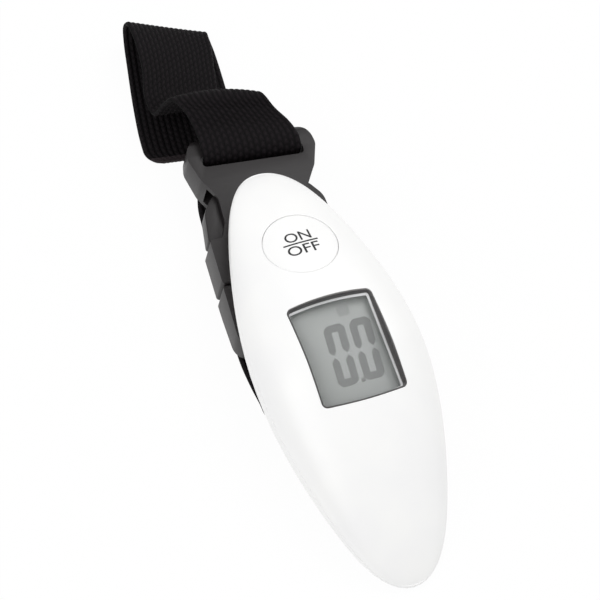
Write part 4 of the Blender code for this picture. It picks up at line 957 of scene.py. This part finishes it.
def buildStage():
    floor = startFrom(bpy.ops.mesh.primitive_plane_add, "floor", size=stageSet["floorSize"])
    made, tree, shader = plainMaterial("paleFloor")
    shader.inputs["Base Color"].default_value = srgb(246, 246, 246)
    shader.inputs["Roughness"].default_value = 0.9
    shader.inputs["Specular IOR Level"].default_value = 0.0
    glow = addNode(tree, "ShaderNodeEmission", Color=(1, 1, 1, 1), Strength=1.0)
    path = addNode(tree, "ShaderNodeLightPath")
    seen = mathNode(tree, "MAXIMUM", path.outputs["Is Camera Ray"],
                    mathNode(tree, "MAXIMUM", path.outputs["Is Glossy Ray"], path.outputs["Is Transmission Ray"]))
    mix = addNode(tree, "ShaderNodeMixShader")
    tree.links.new(mathNode(tree, "MULTIPLY", seen, stageSet["floorGlow"]), mix.inputs["Fac"])
    tree.links.new(shader.outputs["BSDF"], mix.inputs[1])
    tree.links.new(glow.outputs["Emission"], mix.inputs[2])
    tree.links.new(mix.outputs["Shader"], tree.nodes["Material Output"].inputs["Surface"])
    floor.data.materials.append(made)
    world = bpy.data.worlds.new("studio")
    bpy.context.scene.world = world
    world.use_nodes = True
    tree = world.node_tree
    back = tree.nodes["Background"]
    back.inputs["Color"].default_value = (1, 1, 1, 1)
    path = addNode(tree, "ShaderNodeLightPath")
    level = addNode(tree, "ShaderNodeMapRange")
    level.inputs["To Min"].default_value = stageSet["worldStrength"]
    level.inputs["To Max"].default_value = 1.0
    tree.links.new(path.outputs["Is Camera Ray"], level.inputs["Value"])
    tree.links.new(level.outputs["Result"], back.inputs["Strength"])


def softLight(name, spot, size, power):
    lamp = bpy.data.lights.new(name, "AREA")
    lamp.shape = "DISK"
    lamp.size = size
    lamp.energy = power
    item = bpy.data.objects.new(name, lamp)
    item.location = spot
    item.rotation_euler = (-Vector(spot)).to_track_quat("-Z", "Y").to_euler()
    bpy.context.scene.collection.objects.link(item)


camera = {"distance": 1500.0, "lens": 370.35, "right": (0.9198, -0.3418, 0.1927), "up": (0.2548, 0.8937, 0.3691),
          "back": (-0.2983, -0.2904, 0.9092), "aim": (-7.66, 20.48)}


def buildCamera():
    right, up, back = (Vector(camera[key]) for key in ("right", "up", "back"))
    aim = right * camera["aim"][0] + up * camera["aim"][1]
    spot = aim + back * camera["distance"]
    turn = (casePlace.to_3x3() * (1 / mm)) @ Matrix((right, up, back)).transposed()
    lens = bpy.data.cameras.new("photoCamera")
    lens.lens = camera["lens"]
    lens.sensor_width = 36
    lens.clip_end = 20
    item = bpy.data.objects.new("photoCamera", lens)
    item.matrix_world = Matrix.Translation(casePlace @ spot) @ turn.to_4x4()
    bpy.context.scene.collection.objects.link(item)
    bpy.context.scene.camera = item
    bpy.context.scene.view_settings.view_transform = "Standard"


def main():
    buildCamera()
    front, lip = buildCase(), buildSeamLip()
    cap = buildButton()
    words = buildLegend()
    frameRing, paintedHighlightLedge = buildBezel()
    glass, digits, icon = buildDisplay()
    bucklePieces = [buildSocket(), buildPlug(), buildArm(1), buildArm(-1)]
    print("buckle built")
    anchor, load, tail, tailRun = buildWebbing()
    buildFinishes({"whiteAbs": [front, lip, cap], "legend": [words], "lcd": [glass], "digit": [digits],
                   "ghost": [icon], "bezel": [frameRing], "paintedHighlightLedge": [paintedHighlightLedge], "greyAcetal": bucklePieces,
                   "webbing": [anchor, load], "tail": [tail]}, tailRun)
    buildStage()
    for name in ("key", "fill"):
        softLight(name + "Light", stageSet[name + "Spot"], stageSet[name + "Size"], stageSet[name + "Power"])
    print("scene ready")


main()
